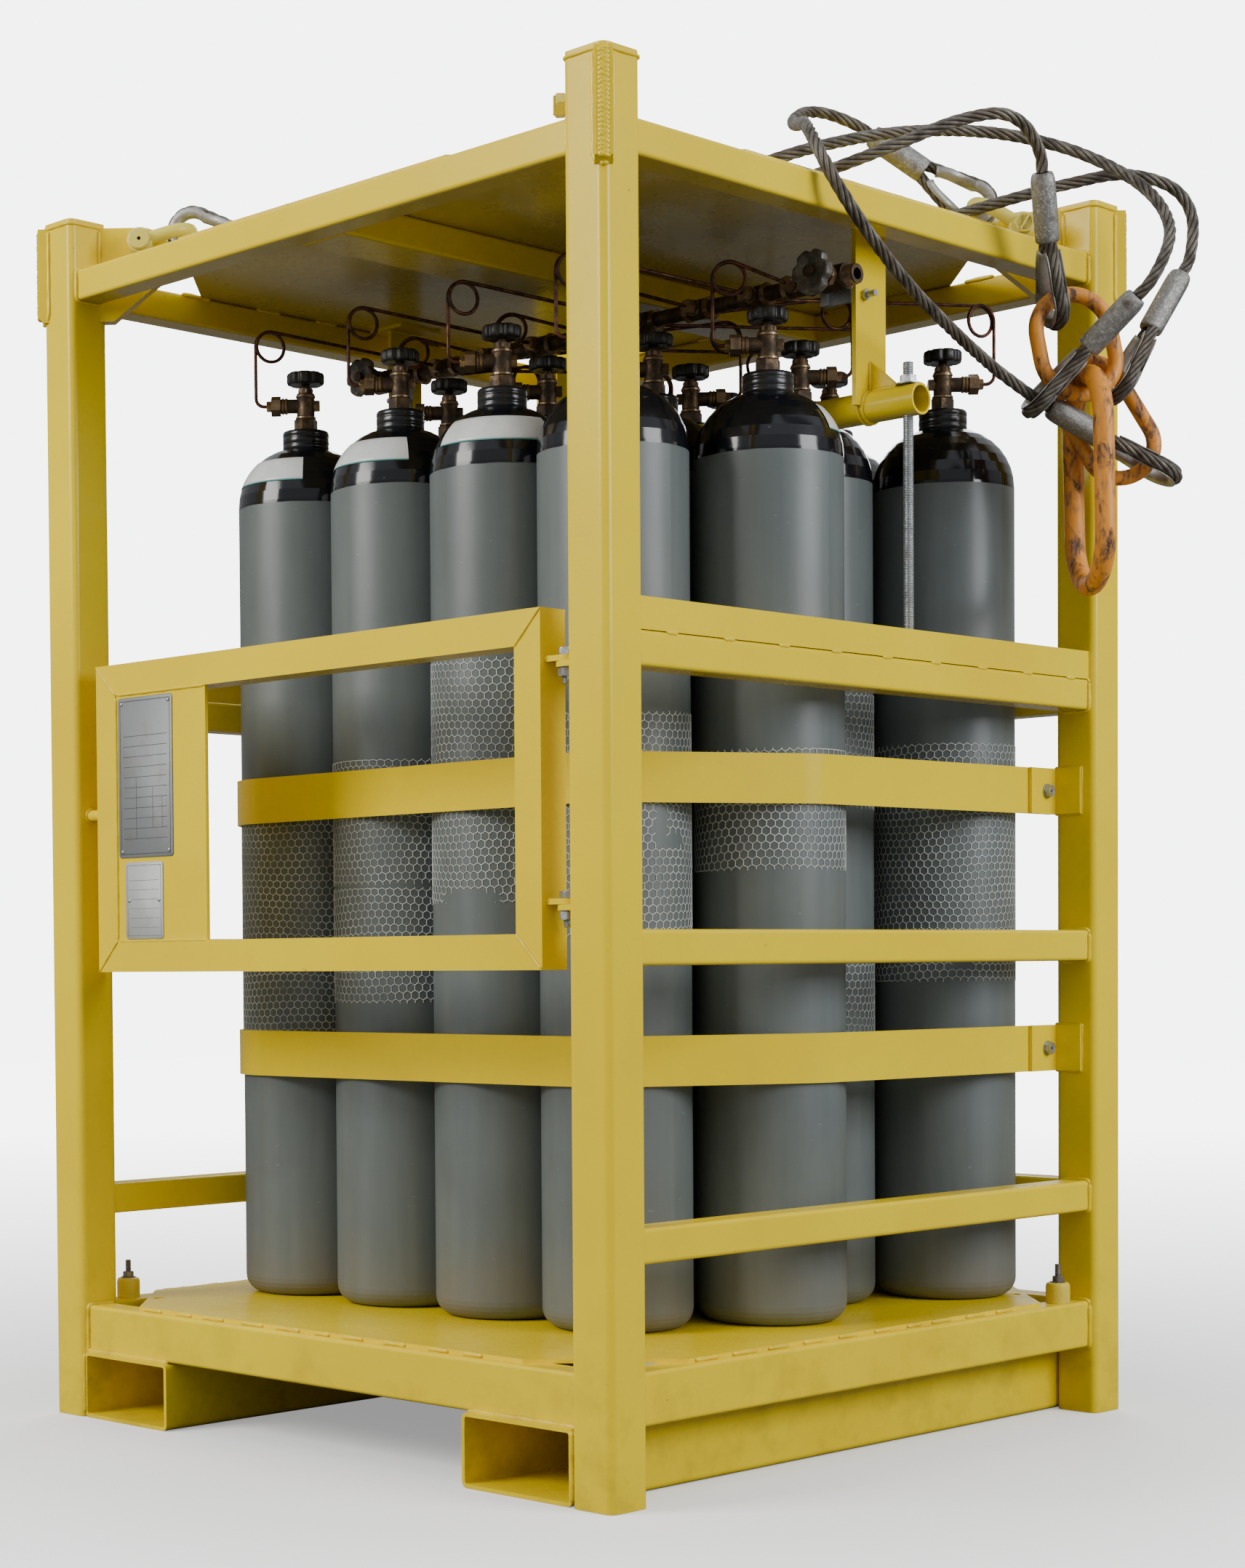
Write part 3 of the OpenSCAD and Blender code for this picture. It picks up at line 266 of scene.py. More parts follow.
top_welds, base_welds, guard_welds = ([], []), ([], []), ([], [])
for a in (-1, 1):
    for b in (-1, 1):
        for along_x in (True, False):
            lay_bead(top_welds, rail_end(a, b, top_level, rail_size, along_x), 0.0036)
        for along_x in (True, False):
            lay_bead(base_welds, rail_end(a, b, base_level, base_rail_size, along_x), 0.0038)
        for top in guard_tops:
            lay_bead(guard_welds, rail_end(a, b, top - 0.025, rail_size, False), 0.0034)
            if b > 0:
                lay_bead(guard_welds, rail_end(a, b, top - 0.025, rail_size, True), 0.0034)
        cap = round_tube((a*cap_middle, b*cap_middle, cap_level), X, Y, cap_size, cap_size, 0.0125)
        lay_bead(top_welds, cap, 0.0026)
        # the seam round the lifting eye's slot at the post's outer corner
        near, far, low = 0.6255, 0.6073, 1.8095
        middle, turned_in = (near + far)/2 + 0.0075, far + (near - far)*0.2
        seam = [(near, far, seam_top), (near, far, low + 0.010), (near, turned_in, low + 0.002),
                (middle, middle, low - 0.004), (turned_in, near, low + 0.002),
                (far, near, low + 0.010), (far, near, seam_top)]
        lay_bead(top_welds, [(a*x, b*y, z) for x, y, z in seam], 0.0036)
        # the eye's two seams at the post's inner corner
        for x, y in ((0.5485, 0.5667), (0.5667, 0.5485)):
            lay_bead(top_welds, [(a*x, b*y, seam_top), (a*x, b*y, 1.889)], 0.0034)
        # the wide woven bead over the eye's outer edge
        for stroke in range(46):
            aside, level = (weave_half if stroke % 2 else -weave_half), weave_low + weave_pitch*stroke
            sweep = [(0.6278 - aside, 0.6278 + aside, level - 0.0016), (0.6297, 0.6297, level),
                     (0.6278 + aside, 0.6278 - aside, level + 0.0016)]
            lay_bead(top_welds, [(a*x, b*y, z) for x, y, z in sweep], 0.0034)
        # the fork pocket against the post and under the base rail
        lay_bead(base_welds, [(a*0.549, b*0.6215, 0.006), (a*0.549, b*0.6225, 0.104)], 0.0036)
        lay_bead(base_welds, [(a*0.340, b*0.6135, 0.1090), (a*0.552, b*0.6135, 0.1090)], 0.0044)
        lay_bead(base_welds, [(a*0.340, b*0.5625, 0.1090), (a*0.546, b*0.5625, 0.1090)], 0.0040)

# short stitches along the edges of the floor and roof plates, and tacks under the upstand bars
for a in (-1, 1):
    for flip in (0, 1):
        for edge, z, half, length, gap, radius, store in (
                (0.5975, 0.1868, 0.42, 0.046, 0.036, 0.0036, base_welds),
                (0.6005, 1.8872, 0.29, 0.044, 0.075, 0.0032, top_welds),
                (0.5625, 1.8842, 0.50, 0.052, 0.086, 0.0036, top_welds)):
            along = -half
            while along < half - length:
                run = length*chance.uniform(0.75, 1.25)
                line = [(a*edge, along, z), (a*edge, along + run*0.5, z), (a*edge, along + run, z)]
                lay_bead(store, [(y, x, z) if flip else (x, y, z) for x, y, z in line], radius)
                along += run + gap*chance.uniform(0.7, 1.3)
    for tack in range(9):
        along = -0.49 + tack*0.122
        lay_bead(guard_welds, [(a*0.6115, along, 1.1960), (a*0.6115, along + 0.024, 1.1960)], 0.0036)
        lay_bead(guard_welds, [(along, 0.6115, 1.1960), (along + 0.024, 0.6115, 1.1960)], 0.0036)
    # the clamp bar through its hanger plates, the gussets, and the pads under the roof
    for face in hanger_faces:
        lay_bead(top_welds, round_tube((a*face, clamp_y, clamp_level), Y, Z, clamp_size, clamp_size,
                                       0.0244), 0.0032)
    for y in (clamp_y - 0.0045, clamp_y + 0.0045):
        lay_bead(top_welds, [(a*0.570, y, 1.6155), (a*0.521, y, 1.6155), (a*0.5195, y, 1.660)], 0.0028)
    for face in hanger_faces:
        lay_bead(top_welds, [(a*face, clamp_y - 0.035, pad_level), (a*face, clamp_y + 0.035, pad_level)],
                 0.0032)
    for low in band_levels:
        lay_bead(guard_welds, [(a*0.549, 0.5495, low), (a*0.599, 0.5485, low - 0.001),
                               (a*0.600, 0.5485, low + 0.075), (a*0.549, 0.5495, low + 0.076)], 0.0030)
lay_bead(guard_welds, round_tube((-0.5485, -0.595, 0.992), Y, Z, 0.0215, 0.0215, 0.0105), 0.0028)
for level in hinge_levels:
    for low in (level - 0.0083, level - 0.0003):
        lay_bead(guard_welds, [(0.5485, hinge_y - 0.015, low), (0.5485, hinge_y + 0.015, low)], 0.0030)
weld_skin = finish_with("painted_weld", enamel_wear,
                        {**lemon, "Chips": 0.3, "Grime Share": 0.9, "Gloss": 0.24, "Peel": 0.6},
                        bump=0.0008, Coat_Weight=0.3, Coat_Roughness=0.1)
for name, store in (("top_weld_beads", top_welds), ("base_weld_beads", base_welds),
                    ("guard_weld_beads", guard_welds)):
    piece(name, *store, weld_skin, "rack", "yellow_paint")

# The bottles: sixteen drawn steel cylinders in staggered rows, sprayed satin grey below and glossy
# black over shoulder and neck ring. They stand on the floor plate; handling has scuffed them.
row_count, row_length, bottle_radius = 4, 4, 0.115
pitch_x, pitch_y, pack_x, pack_y = 0.232, 0.2266, 0.003, 0.097
shoulder_height, shoulder_radius = 1.515, 0.100
bottles = [(pack_x + (i - 1.5)*pitch_x + (-1 if row % 2 == 0 else 1)*pitch_x/4,
            pack_y + (row - 1.5)*pitch_y, row)
           for row in range(row_count) for i in range(row_length)]

bottle_skin, given, shown = effect(
    "bottle_skin",
    {"Body": (0.2, 0.22, 0.22, 1), "Shoulder": (0.01, 0.01, 0.012, 1), "Scuff": (0.3, 0.3, 0.3, 1),
     "Dust": (0.3, 0.26, 0.2, 1), "Line Height": 1.52, "Scuffs": 0.4},
    {"Colour": "Color", "Roughness": "Float", "Height": "Float"})
spot = put(bottle_skin, "TexCoord", {}).outputs["Object"]
up = put(bottle_skin, "SeparateXYZ", {0: spot}).outputs["Z"]
stretch = put(bottle_skin, "Mapping", {"Vector": spot, "Scale": (9.0, 9.0, 0.9)}).outputs["Vector"]
draw_marks = put(bottle_skin, "TexNoise", {"Vector": stretch, "Scale": 3.4, "Detail": 5.0}).outputs["Fac"]
mottle = put(bottle_skin, "TexNoise", {"Vector": spot, "Scale": 7.0, "Detail": 5.0}).outputs["Fac"]
scratch_turn = put(bottle_skin, "Mapping",
                   {"Vector": spot, "Rotation": (0.5, 0.3, 0.2),
                    "Scale": (26.0, 3.0, 30.0)}).outputs["Vector"]
scratches = put(bottle_skin, "TexNoise",
                {"Vector": scratch_turn, "Scale": 5.0, "Detail": 3.0}).outputs["Fac"]
paint_edge = put(bottle_skin, "TexNoise", {"Vector": spot, "Scale": 24.0, "Detail": 1.0}).outputs["Fac"]
spray_line = reckoned(bottle_skin, "MULTIPLY_ADD", paint_edge, 0.003, given["Line Height"])
above = graded(bottle_skin, reckoned(bottle_skin, "SUBTRACT", up, spray_line), -0.0006, 0.0006)
body = blended(bottle_skin, graded(bottle_skin, draw_marks, 0.3, 0.75, 0.0, 0.35), given["Body"],
               given["Scuff"])
body = blended(bottle_skin, graded(bottle_skin, mottle, 0.45, 0.75, 0.0, 0.16), body, given["Shoulder"])
marks = reckoned(bottle_skin, "MULTIPLY", graded(bottle_skin, scratches, 0.715, 0.735), given["Scuffs"])
coat = blended(bottle_skin, above, body, given["Shoulder"])
marks = reckoned(bottle_skin, "MULTIPLY", marks, graded(bottle_skin, above, 0.0, 1.0, 1.0, 0.35))
coat = blended(bottle_skin, marks, coat, given["Scuff"])
low_dust = reckoned(bottle_skin, "MULTIPLY", graded(bottle_skin, up, 0.19, 0.33, 0.55, 0.0),
                    graded(bottle_skin, mottle, 0.35, 0.65))
coat = blended(bottle_skin, low_dust, coat, given["Dust"])
sheen = graded(bottle_skin, above, 0.0, 1.0, 0.34, 0.07)
roughened = reckoned(bottle_skin, "MULTIPLY_ADD", mottle, 0.12,
                     reckoned(bottle_skin, "MULTIPLY", low_dust, 0.4))
for socket, output in (("Colour", coat),
                       ("Roughness", reckoned(bottle_skin, "ADD", sheen, roughened)),
                       ("Height", reckoned(bottle_skin, "MULTIPLY_ADD", draw_marks, 0.5, mottle))):
    bottle_skin.links.new(output, shown[socket])
bottle_enamel = finish_with("bottle_enamel", bottle_skin,
                            {"Body": (0.112, 0.134, 0.136, 1), "Shoulder": (0.005, 0.006, 0.009, 1),
                             "Scuff": (0.19, 0.215, 0.217, 1), "Dust": (0.20, 0.16, 0.10, 1),
                             "Line Height": 1.5090, "Scuffs": 0.55}, bump=0.0006)
clothe("bottles", bottle_enamel)


def turned(store, profile, turns, centre=(0, 0, 0), axes=None, from_angle=0.0, to_angle=math.tau,
           swell=None):
    """Points and faces of a turned form, added to a store: profile holds (radius, height) pairs."""
    points, faces = store
    first, closed = len(points), abs(to_angle - from_angle - math.tau) < 1e-6
    x, y, z = axes or (Vector(X), Vector(Y), Vector(Z))
    columns = turns if closed else turns + 1
    for column in range(columns):
        angle = from_angle + (to_angle - from_angle)*column/turns
        for radius, height in profile:
            full = radius*(swell(angle, radius, height) if swell else 1.0)
            points.append(Vector(centre) + x*full*math.cos(angle) + y*full*math.sin(angle) + z*height)
    count = len(profile)
    for column in range(turns):
        here, there = first + column*count, first + (column + 1) % columns*count
        for step in range(count - 1):
            faces.append((here + step, there + step, there + step + 1, here + step + 1))


# The neck rings: pressed steel collars on the necks, painted with the shoulders, each with two
# shallow grooves; a thin bead of black paint lies under each one.
neck_rings = ([], [])
for x, y, row in bottles:
    turned(neck_rings, [(0.0384, 1.612), (0.0392, 1.6135), (0.0392, 1.6195), (0.0384, 1.6208),
                        (0.0392, 1.6222), (0.0392, 1.6325), (0.0384, 1.6338), (0.0392, 1.6352),
                        (0.0392, 1.6405), (0.0375, 1.6436), (0.034, 1.6446), (0.019, 1.6448)],
           48, (x, y, 0))
collar_black = finish_with("collar_black", enamel_wear,
                           {"Enamel": (0.007, 0.008, 0.010, 1), "Faded": (0.014, 0.015, 0.017, 1),
                            "Bare": (0.12, 0.12, 0.12, 1), "Grime": (0.05, 0.045, 0.035, 1),
                            "Chips": 0.4, "Grime Share": 0.5, "Gloss": 0.16, "Peel": 0.3})
piece("neck_rings", *neck_rings, collar_black, "rack", "bottle_paint")

# The shoulder labels: plain white gloss film with a teal foot, rubbed onto the curve of the
# shoulder. The film's edges stand a hair proud of the black paint.
label_film = bpy.data.materials.new("label_film")
label_film.use_nodes = True
tree = label_film.node_tree
shader = tree.nodes["Principled BSDF"]
shader.inputs["Coat Weight"].default_value = 0.3
up = put(tree, "SeparateXYZ", {0: put(tree, "TexCoord", {}).outputs["Object"]}).outputs["Z"]
creases = put(tree, "TexNoise",
              {"Scale": 40.0, "Detail": 3.0,
               "Vector": put(tree, "TexCoord", {}).outputs["Object"]}).outputs["Fac"]
film = blended(tree, graded(tree, creases, 0.3, 0.7), (0.78, 0.80, 0.80, 1), (0.66, 0.69, 0.70, 1))
film = blended(tree, graded(tree, up, 1.5488, 1.5492, 1.0, 0.0), film, (0.10, 0.42, 0.42, 1))
tree.links.new(film, shader.inputs["Base Color"])
tree.links.new(graded(tree, creases, 0.3, 0.7, 0.24, 0.4), shader.inputs["Roughness"])
tree.links.new(put(tree, "Bump", {"Height": creases, "Distance": 0.0008}).outputs["Normal"],
               shader.inputs["Normal"])
labels, film_curve = ([], []), shoulder_radius + 0.0007
# each label: the bottle, the angle that its middle faces and the angle that it spans, in degrees
for index, facing, span in ((0, -93, 96), (1, -85, 96), (2, -54, 106), (7, 52, 92), (4, -150, 90),
                            (12, 110, 96)):
    x, y, row = bottles[index]
    arc = [math.radians(18.5 + 3.5*step) for step in range(9)]
    profile = [(bottle_radius - shoulder_radius + film_curve*math.cos(a),
                shoulder_height + film_curve*math.sin(a)) for a in arc]
    foot, head = profile[0], profile[-1]
    profile = [(foot[0] - 0.0006, foot[1])] + profile + [(head[0] - 0.0007, head[1])]
    turned(labels, profile, 40, (x, y, 0), from_angle=math.radians(facing - span/2),
           to_angle=math.radians(facing + span/2))
piece("shoulder_labels", *labels, label_film, "rack", "bottle_paint")

# The net sleeves: soft white plastic netting of six-sided mesh, pulled over the bottles where the
# bands press. Each thread is modelled; cut ends leave ragged rims, and a few meshes are torn.
net_threads = bpy.data.materials.new("net_threads")
net_threads.use_nodes = True
tree = net_threads.node_tree
shader = tree.nodes["Principled BSDF"]
shader.inputs["Subsurface Weight"].default_value = 0.12
shader.inputs["Subsurface Radius"].default_value = (0.002, 0.002, 0.002)
soil = put(tree, "TexNoise", {"Scale": 16.0, "Detail": 6.0,
                              "Vector": put(tree, "TexCoord", {}).outputs["Object"]}).outputs["Fac"]
thread_tone = blended(tree, graded(tree, soil, 0.4, 0.75), (0.72, 0.75, 0.75, 1), (0.36, 0.38, 0.38, 1))
tree.links.new(thread_tone, shader.inputs["Base Color"])
tree.links.new(graded(tree, soil, 0.3, 0.7, 0.42, 0.62), shader.inputs["Roughness"])
tree.links.new(put(tree, "Bump", {"Height": soil, "Distance": 0.0004}).outputs["Normal"],
               shader.inputs["Normal"])
net_radius, net_columns = bottle_radius + 0.00045, 112
mesh_side = math.tau*net_radius/(net_columns/2)/math.sqrt(3)


def net_sleeve(name, bottle, foot, height, torn=()):
    """One sleeve of six-sided netting round a bottle. Each torn place is an ellipse on the sleeve: its
    angle, its height, its half width as an angle and its half height."""
    across, rise, _ = bottles[bottle]
    store = ([], [])
    rows = max(2, int((height - mesh_side*1.1)/(1.5*mesh_side)))
    pitch = (height - mesh_side*1.1)/rows
    lean, wave = chance.uniform(-0.004, 0.004), chance.uniform(0, 6)

    def knot(column, level):
        """The angle and height of one knot, pulled a little out of its row and column."""
        sign = 1 if (column + level) % 2 == 0 else -1
        height_at = foot + mesh_side*0.55 + level*pitch + sign*mesh_side/4
        angle = math.tau*(column % net_columns)/net_columns
        height_at += 0.0022*math.sin(3*angle + wave + level*0.21) + lean*math.sin(angle + wave)
        angle += 0.010*math.sin(level*0.45 + wave) + 0.012*math.sin(2*angle + wave*2 + level*0.13)
        return angle, min(max(height_at, foot + 0.0008), foot + height - 0.0008)

    def thread(start, end):
        """One straight thread between two knots, unless it lies in a torn place."""
        middle_turn, middle_height = (start[0] + end[0])/2, (start[1] + end[1])/2
        for turn_at, height_at, half_turn, half_height in torn:
            off = (middle_turn - turn_at + math.pi) % math.tau - math.pi
            if (off/half_turn)**2 + ((middle_height - height_at)/half_height)**2 < 1:
                return
        points, faces = store
        first = len(points)
        ends = [Vector((net_radius*math.cos(t), net_radius*math.sin(t), h)) for t, h in (start, end)]
        outward = Vector((math.cos(middle_turn), math.sin(middle_turn), 0))
        aside = outward.cross(ends[1] - ends[0]).normalized()*0.00072
        for centre in ends:
            for shift in (outward*0.00044, aside, outward*-0.00040, -aside):
                points.append(Vector((across, rise, 0)) + centre + shift)
        for side in range(4):
            other = (side + 1) % 4
            faces.append((first + side, first + other, first + 4 + other, first + 4 + side))

    for level in range(rows + 1):
        for column in range(net_columns):
            here, there = knot(column, level), knot(column + 1, level)
            if there[0] < here[0] - 3:
                there = (there[0] + math.tau, there[1])
            thread(here, there)
            if (column + level) % 2 == 0:
                if level < rows:
                    thread(here, knot(column, level + 1))
                else:
                    thread(here, (here[0] + chance.uniform(-0.012, 0.012),
                                  min(here[1] + mesh_side*chance.uniform(0.25, 0.9), foot + height)))
            elif level == 0:
                thread(here, (here[0] + chance.uniform(-0.012, 0.012),
                              max(here[1] - mesh_side*chance.uniform(0.25, 0.9), foot)))
    return piece(name, *store, net_threads, "rack", "net_plastic")


# the torn places are set out by angle from the corner between the gate side and the right side
near_side = math.atan2(-3.39, 3.13)
torn_places = {3: ((near_side - 0.5, 0.846, 0.5, 0.012), (near_side + 1.6, 0.860, 0.6, 0.02)),
               4: ((near_side + 0.62, 0.945, 0.11, 0.030), (near_side + 0.85, 0.925, 0.2, 0.010)),
               11: ((near_side + 0.1, 0.735, 0.15, 0.008),)}
net_spans = ((0, 0.630, 0.380), (1, 0.681, 0.186), (1, 0.871, 0.201), (2, 0.838, 0.377),
             (3, 0.780, 0.337), (4, 0.560, 0.180), (7, 0.881, 0.183), (8, 0.985, 0.150),
             (11, 0.552, 0.187), (11, 0.985, 0.186), (12, 0.640, 0.400), (15, 0.708, 0.385))
nets = [net_sleeve("net_sleeve_%d" % (index + 1), bottle, foot, height, torn_places.get(index, ()))
        for index, (bottle, foot, height) in enumerate(net_spans)]
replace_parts(nets[0], "net_sleeves")

# The bottle valves: brass bodies screwed into the necks, gone brown with age, their wrench flats and
# outlet nuts rubbed brighter. Each stem leaves through a gland nut under its handwheel.
brass_age, given, shown = effect(
    "brass_age",
    {"Bright": (0.5, 0.35, 0.12, 1), "Brown": (0.1, 0.06, 0.03, 1), "Stain": (0.05, 0.12, 0.09, 1),
     "Age": 0.6, "Rough": 0.3},
    {"Colour": "Color", "Roughness": "Float", "Metal": "Float", "Height": "Float"})
spot = put(brass_age, "TexCoord", {}).outputs["Object"]
cast = put(brass_age, "TexNoise", {"Vector": spot, "Scale": 420.0, "Detail": 3.0}).outputs["Fac"]
bloom = put(brass_age, "TexNoise",
            {"Vector": spot, "Scale": 60.0, "Detail": 6.0, "Roughness": 0.6}).outputs["Fac"]
patches = put(brass_age, "TexNoise", {"Vector": spot, "Scale": 22.0, "Detail": 3.0}).outputs["Fac"]
aged = graded(brass_age, reckoned(brass_age, "ADD", bloom, given["Age"]), 0.72, 1.12)
metal = blended(brass_age, aged, given["Bright"], given["Brown"])
stained = reckoned(brass_age, "MULTIPLY", graded(brass_age, patches, 0.6, 0.78, 0.0, 0.55), aged)
metal = blended(brass_age, stained, metal, given["Stain"])
roughened = graded(brass_age, aged, 0.0, 1.0, 0.0, 0.28)
for socket, output in (("Colour", metal),
                       ("Roughness", reckoned(brass_age, "ADD", given["Rough"], roughened)),
                       ("Metal", graded(brass_age, aged, 0.0, 1.0, 1.0, 0.55)),
                       ("Height", reckoned(brass_age, "ADD", cast, bloom))):
    brass_age.links.new(output, shown[socket])
aged_brass = finish_with("aged_brass", brass_age,
                         {"Bright": (0.25, 0.165, 0.090, 1), "Brown": (0.056, 0.038, 0.024, 1),
                          "Stain": (0.036, 0.050, 0.038, 1), "Age": 0.56, "Rough": 0.3}, bump=0.0005)
rubbed_brass = finish_with("rubbed_brass", brass_age,
                           {"Bright": (0.42, 0.29, 0.165, 1), "Brown": (0.105, 0.068, 0.040, 1),
                            "Stain": (0.06, 0.10, 0.07, 1), "Age": 0.42, "Rough": 0.26}, bump=0.0003)
clothe("bottle_valves", aged_brass)
clothe("outlet_nuts", rubbed_brass)
clothe("manifold_pipe", aged_brass)
clothe("manifold_valves", aged_brass)


def hexagon(store, centre, axis, size, length, turn=0.0, bevel=0.12):
    """A chamfered hexagon nut or head along an axis, added to a store; size is its corner radius."""
    axis = Vector(axis).normalized()
    side = axis.cross(Vector((0.3, 0.5, 0.81)) if abs(axis.z) > 0.9 else Vector(Z)).normalized()
    axes = (side, axis.cross(side), axis)

    def six(angle, radius, height):
        """The six flats, with the corners taken off at both ends."""
        flat = (angle + turn) % (math.pi/3) - math.pi/6
        hexed = 0.866/math.cos(flat)
        return min(hexed, 1.0 if 0.0 < height < length else 0.905)

    cut = size*bevel
    turned(store, [(size*0.2, 0), (size, 0.0), (size, cut), (size, length - cut), (size, length),
                   (size*0.2, length)], 36, centre, axes, swell=six)


outlet_height = 1.6883


def outlet_way(row):
    """The level direction in which a bottle's outlet points, forward in the two front rows."""
    turn = math.radians(225 if row < 2 else 45)
    return Vector((math.cos(turn), math.sin(turn), 0))


stem_parts = ([], [])
for x, y, row in bottles:
    way, middle = outlet_way(row), Vector((x, y, outlet_height))
    hexagon(stem_parts, (x, y, 1.7083), Z, 0.0135, 0.0085)
    turned(stem_parts, [(0.0150, 1.6650), (0.0172, 1.6662), (0.0172, 1.6690), (0.0150, 1.6702)], 28,
           (x, y, 0))
    turned(stem_parts, [(0.0150, 1.7010), (0.0166, 1.7022), (0.0166, 1.7052), (0.0145, 1.7064)], 28,
           (x, y, 0))
    # the safety plug opposite the outlet, and the thread ring behind the outlet nut
    hexagon(stem_parts, middle - way*0.0135, -way, 0.0098, 0.0105)
    side = way.cross(Vector(Z))
    turned(stem_parts, [(0.0120, 0.030), (0.0136, 0.0312), (0.0136, 0.0345), (0.0120, 0.0357),
                        (0.0136, 0.0369), (0.0136, 0.0400), (0.0120, 0.0412)], 24, middle,
           (side, way.cross(side), way))
piece("valve_fittings", *stem_parts, rubbed_brass, "rack", "aged_brass", smooth=False)

# The handwheels: black rubbery plastic on a moulded hub, each with eight finger lobes and a dished
# top. Every wheel turns on its own stem.
grip_skin, given, shown = effect(
    "grip_skin",
    {"Rubber": (0.012, 0.012, 0.013, 1), "Dust": (0.12, 0.11, 0.10, 1), "Grain": 420.0,
     "Dust Share": 0.4, "Dull": 0.42},
    {"Colour": "Color", "Roughness": "Float", "Height": "Float"})
spot = put(grip_skin, "TexCoord", {}).outputs["Object"]
grain = put(grip_skin, "TexNoise", {"Vector": spot, "Scale": given["Grain"], "Detail": 2.0}).outputs["Fac"]
lying = put(grip_skin, "TexNoise", {"Vector": spot, "Scale": 70.0, "Detail": 5.0}).outputs["Fac"]
dusted = reckoned(grip_skin, "MULTIPLY", graded(grip_skin, lying, 0.45, 0.72), given["Dust Share"])
for socket, output in (("Colour", blended(grip_skin, dusted, given["Rubber"], given["Dust"])),
                       ("Roughness", reckoned(grip_skin, "MULTIPLY_ADD", dusted, 0.4, given["Dull"])),
                       ("Height", grain)):
    grip_skin.links.new(output, shown[socket])
wheel_rubber = finish_with("wheel_rubber", grip_skin,
                           {"Rubber": (0.010, 0.010, 0.011, 1), "Dust": (0.10, 0.09, 0.08, 1),
                            "Grain": 700.0, "Dust Share": 0.35, "Dull": 0.36}, bump=0.0002)


def lobed_wheel(name, width, height, lobes, bore, dish, material, rim=0.0045, depth=0.13):
    """A finger-lobed wheel on Z with a through bore, as a mesh to be placed."""
    radius, store = width/2, ([], [])

    def lobe(angle, at, level):
        """How much of the wheel's radius is left between the fingers, by angle."""
        share = max(0.0, (at/radius - 0.45)/0.55)
        notch = max(0.0, math.cos(lobes*angle + math.pi))**1.5
        return 1.0 - depth*notch*share**1.3

    profile = [(bore, height - dish), (bore + 0.006, height - dish),
               (bore + 0.0085, height - dish + 0.0012), (radius*0.62, height - dish*0.7),
               (radius*0.78, height - 0.0006), (radius - rim*0.75, height),
               (radius - rim*0.25, height - rim*0.28), (radius, height - rim*0.9),
               (radius, height*0.5), (radius, rim*0.9), (radius - rim*0.25, rim*0.28),
               (radius - rim*0.75, 0), (radius*0.66, 0.0), (radius*0.5, dish*0.5),
               (bore + 0.0045, dish*0.5), (bore + 0.003, 0.0), (bore, 0.0), (bore, height - dish)]
    turned(store, profile[::-1], lobes*12, swell=lobe)
    mesh = bpy.data.meshes.new(name)
    mesh.from_pydata(store[0], [], store[1])
    mesh.materials.append(material)
    mesh.shade_smooth()
    return mesh


wheel_height = 1.72302
bottle_wheel = lobed_wheel("bottle_wheel", 0.063, 0.020, 8, 0.00405, 0.0035, wheel_rubber)
for index, (x, y, row) in enumerate(bottles):
    wheel = bpy.data.objects.new("handwheel_%d" % (index + 1), bottle_wheel)
    bpy.context.scene.collection.objects.link(wheel)
    wheel.location = (x, y, wheel_height)
    wheel.rotation_euler = (0, 0, math.radians(13*index))
    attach(wheel, "valve_wheel_%d" % (index + 1))
    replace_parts(wheel, "valve_wheel_%d" % (index + 1))

# The copper tubes: one soft tube from each valve to its port, bent by hand with one full turn that
# lets the bottles move. The copper has gone dark brown, redder where hands have rubbed it.
dark_copper = finish_with("dark_copper", brass_age,
                          {"Bright": (0.27, 0.105, 0.060, 1), "Brown": (0.048, 0.022, 0.016, 1),
                           "Stain": (0.03, 0.05, 0.04, 1), "Age": 0.5, "Rough": 0.28}, bump=0.0002)
manifold_y, manifold_z, port_reach, tube_radius, turn_radius = 0.036, 1.782, 0.034, 0.003, 0.025


def swept(store, path, radius, sides=8):
    """A round tube along close points, added to a store, with its rings carried along without twist."""
    points, faces = store
    first, last = len(points), len(path) - 1
    upright = None
    for index, centre in enumerate(path):
        way = (path[min(index + 1, last)] - path[max(index - 1, 0)]).normalized()
        carried = way.orthogonal() if upright is None else upright - way*upright.dot(way)
        upright = carried.normalized()
        aside = way.cross(upright)
        for side in range(sides):
            angle = math.tau*side/sides
            points.append(centre + radius*(math.cos(angle)*upright + math.sin(angle)*aside))
    for ring in range(last):
        for side in range(sides):
            a, b = first + ring*sides + side, first + ring*sides + (side + 1) % sides
            faces.append((a, b, b + sides, a + sides))
    faces.append(tuple(first + s for s in reversed(range(sides))))
    faces.append(tuple(first + last*sides + s for s in range(sides)))


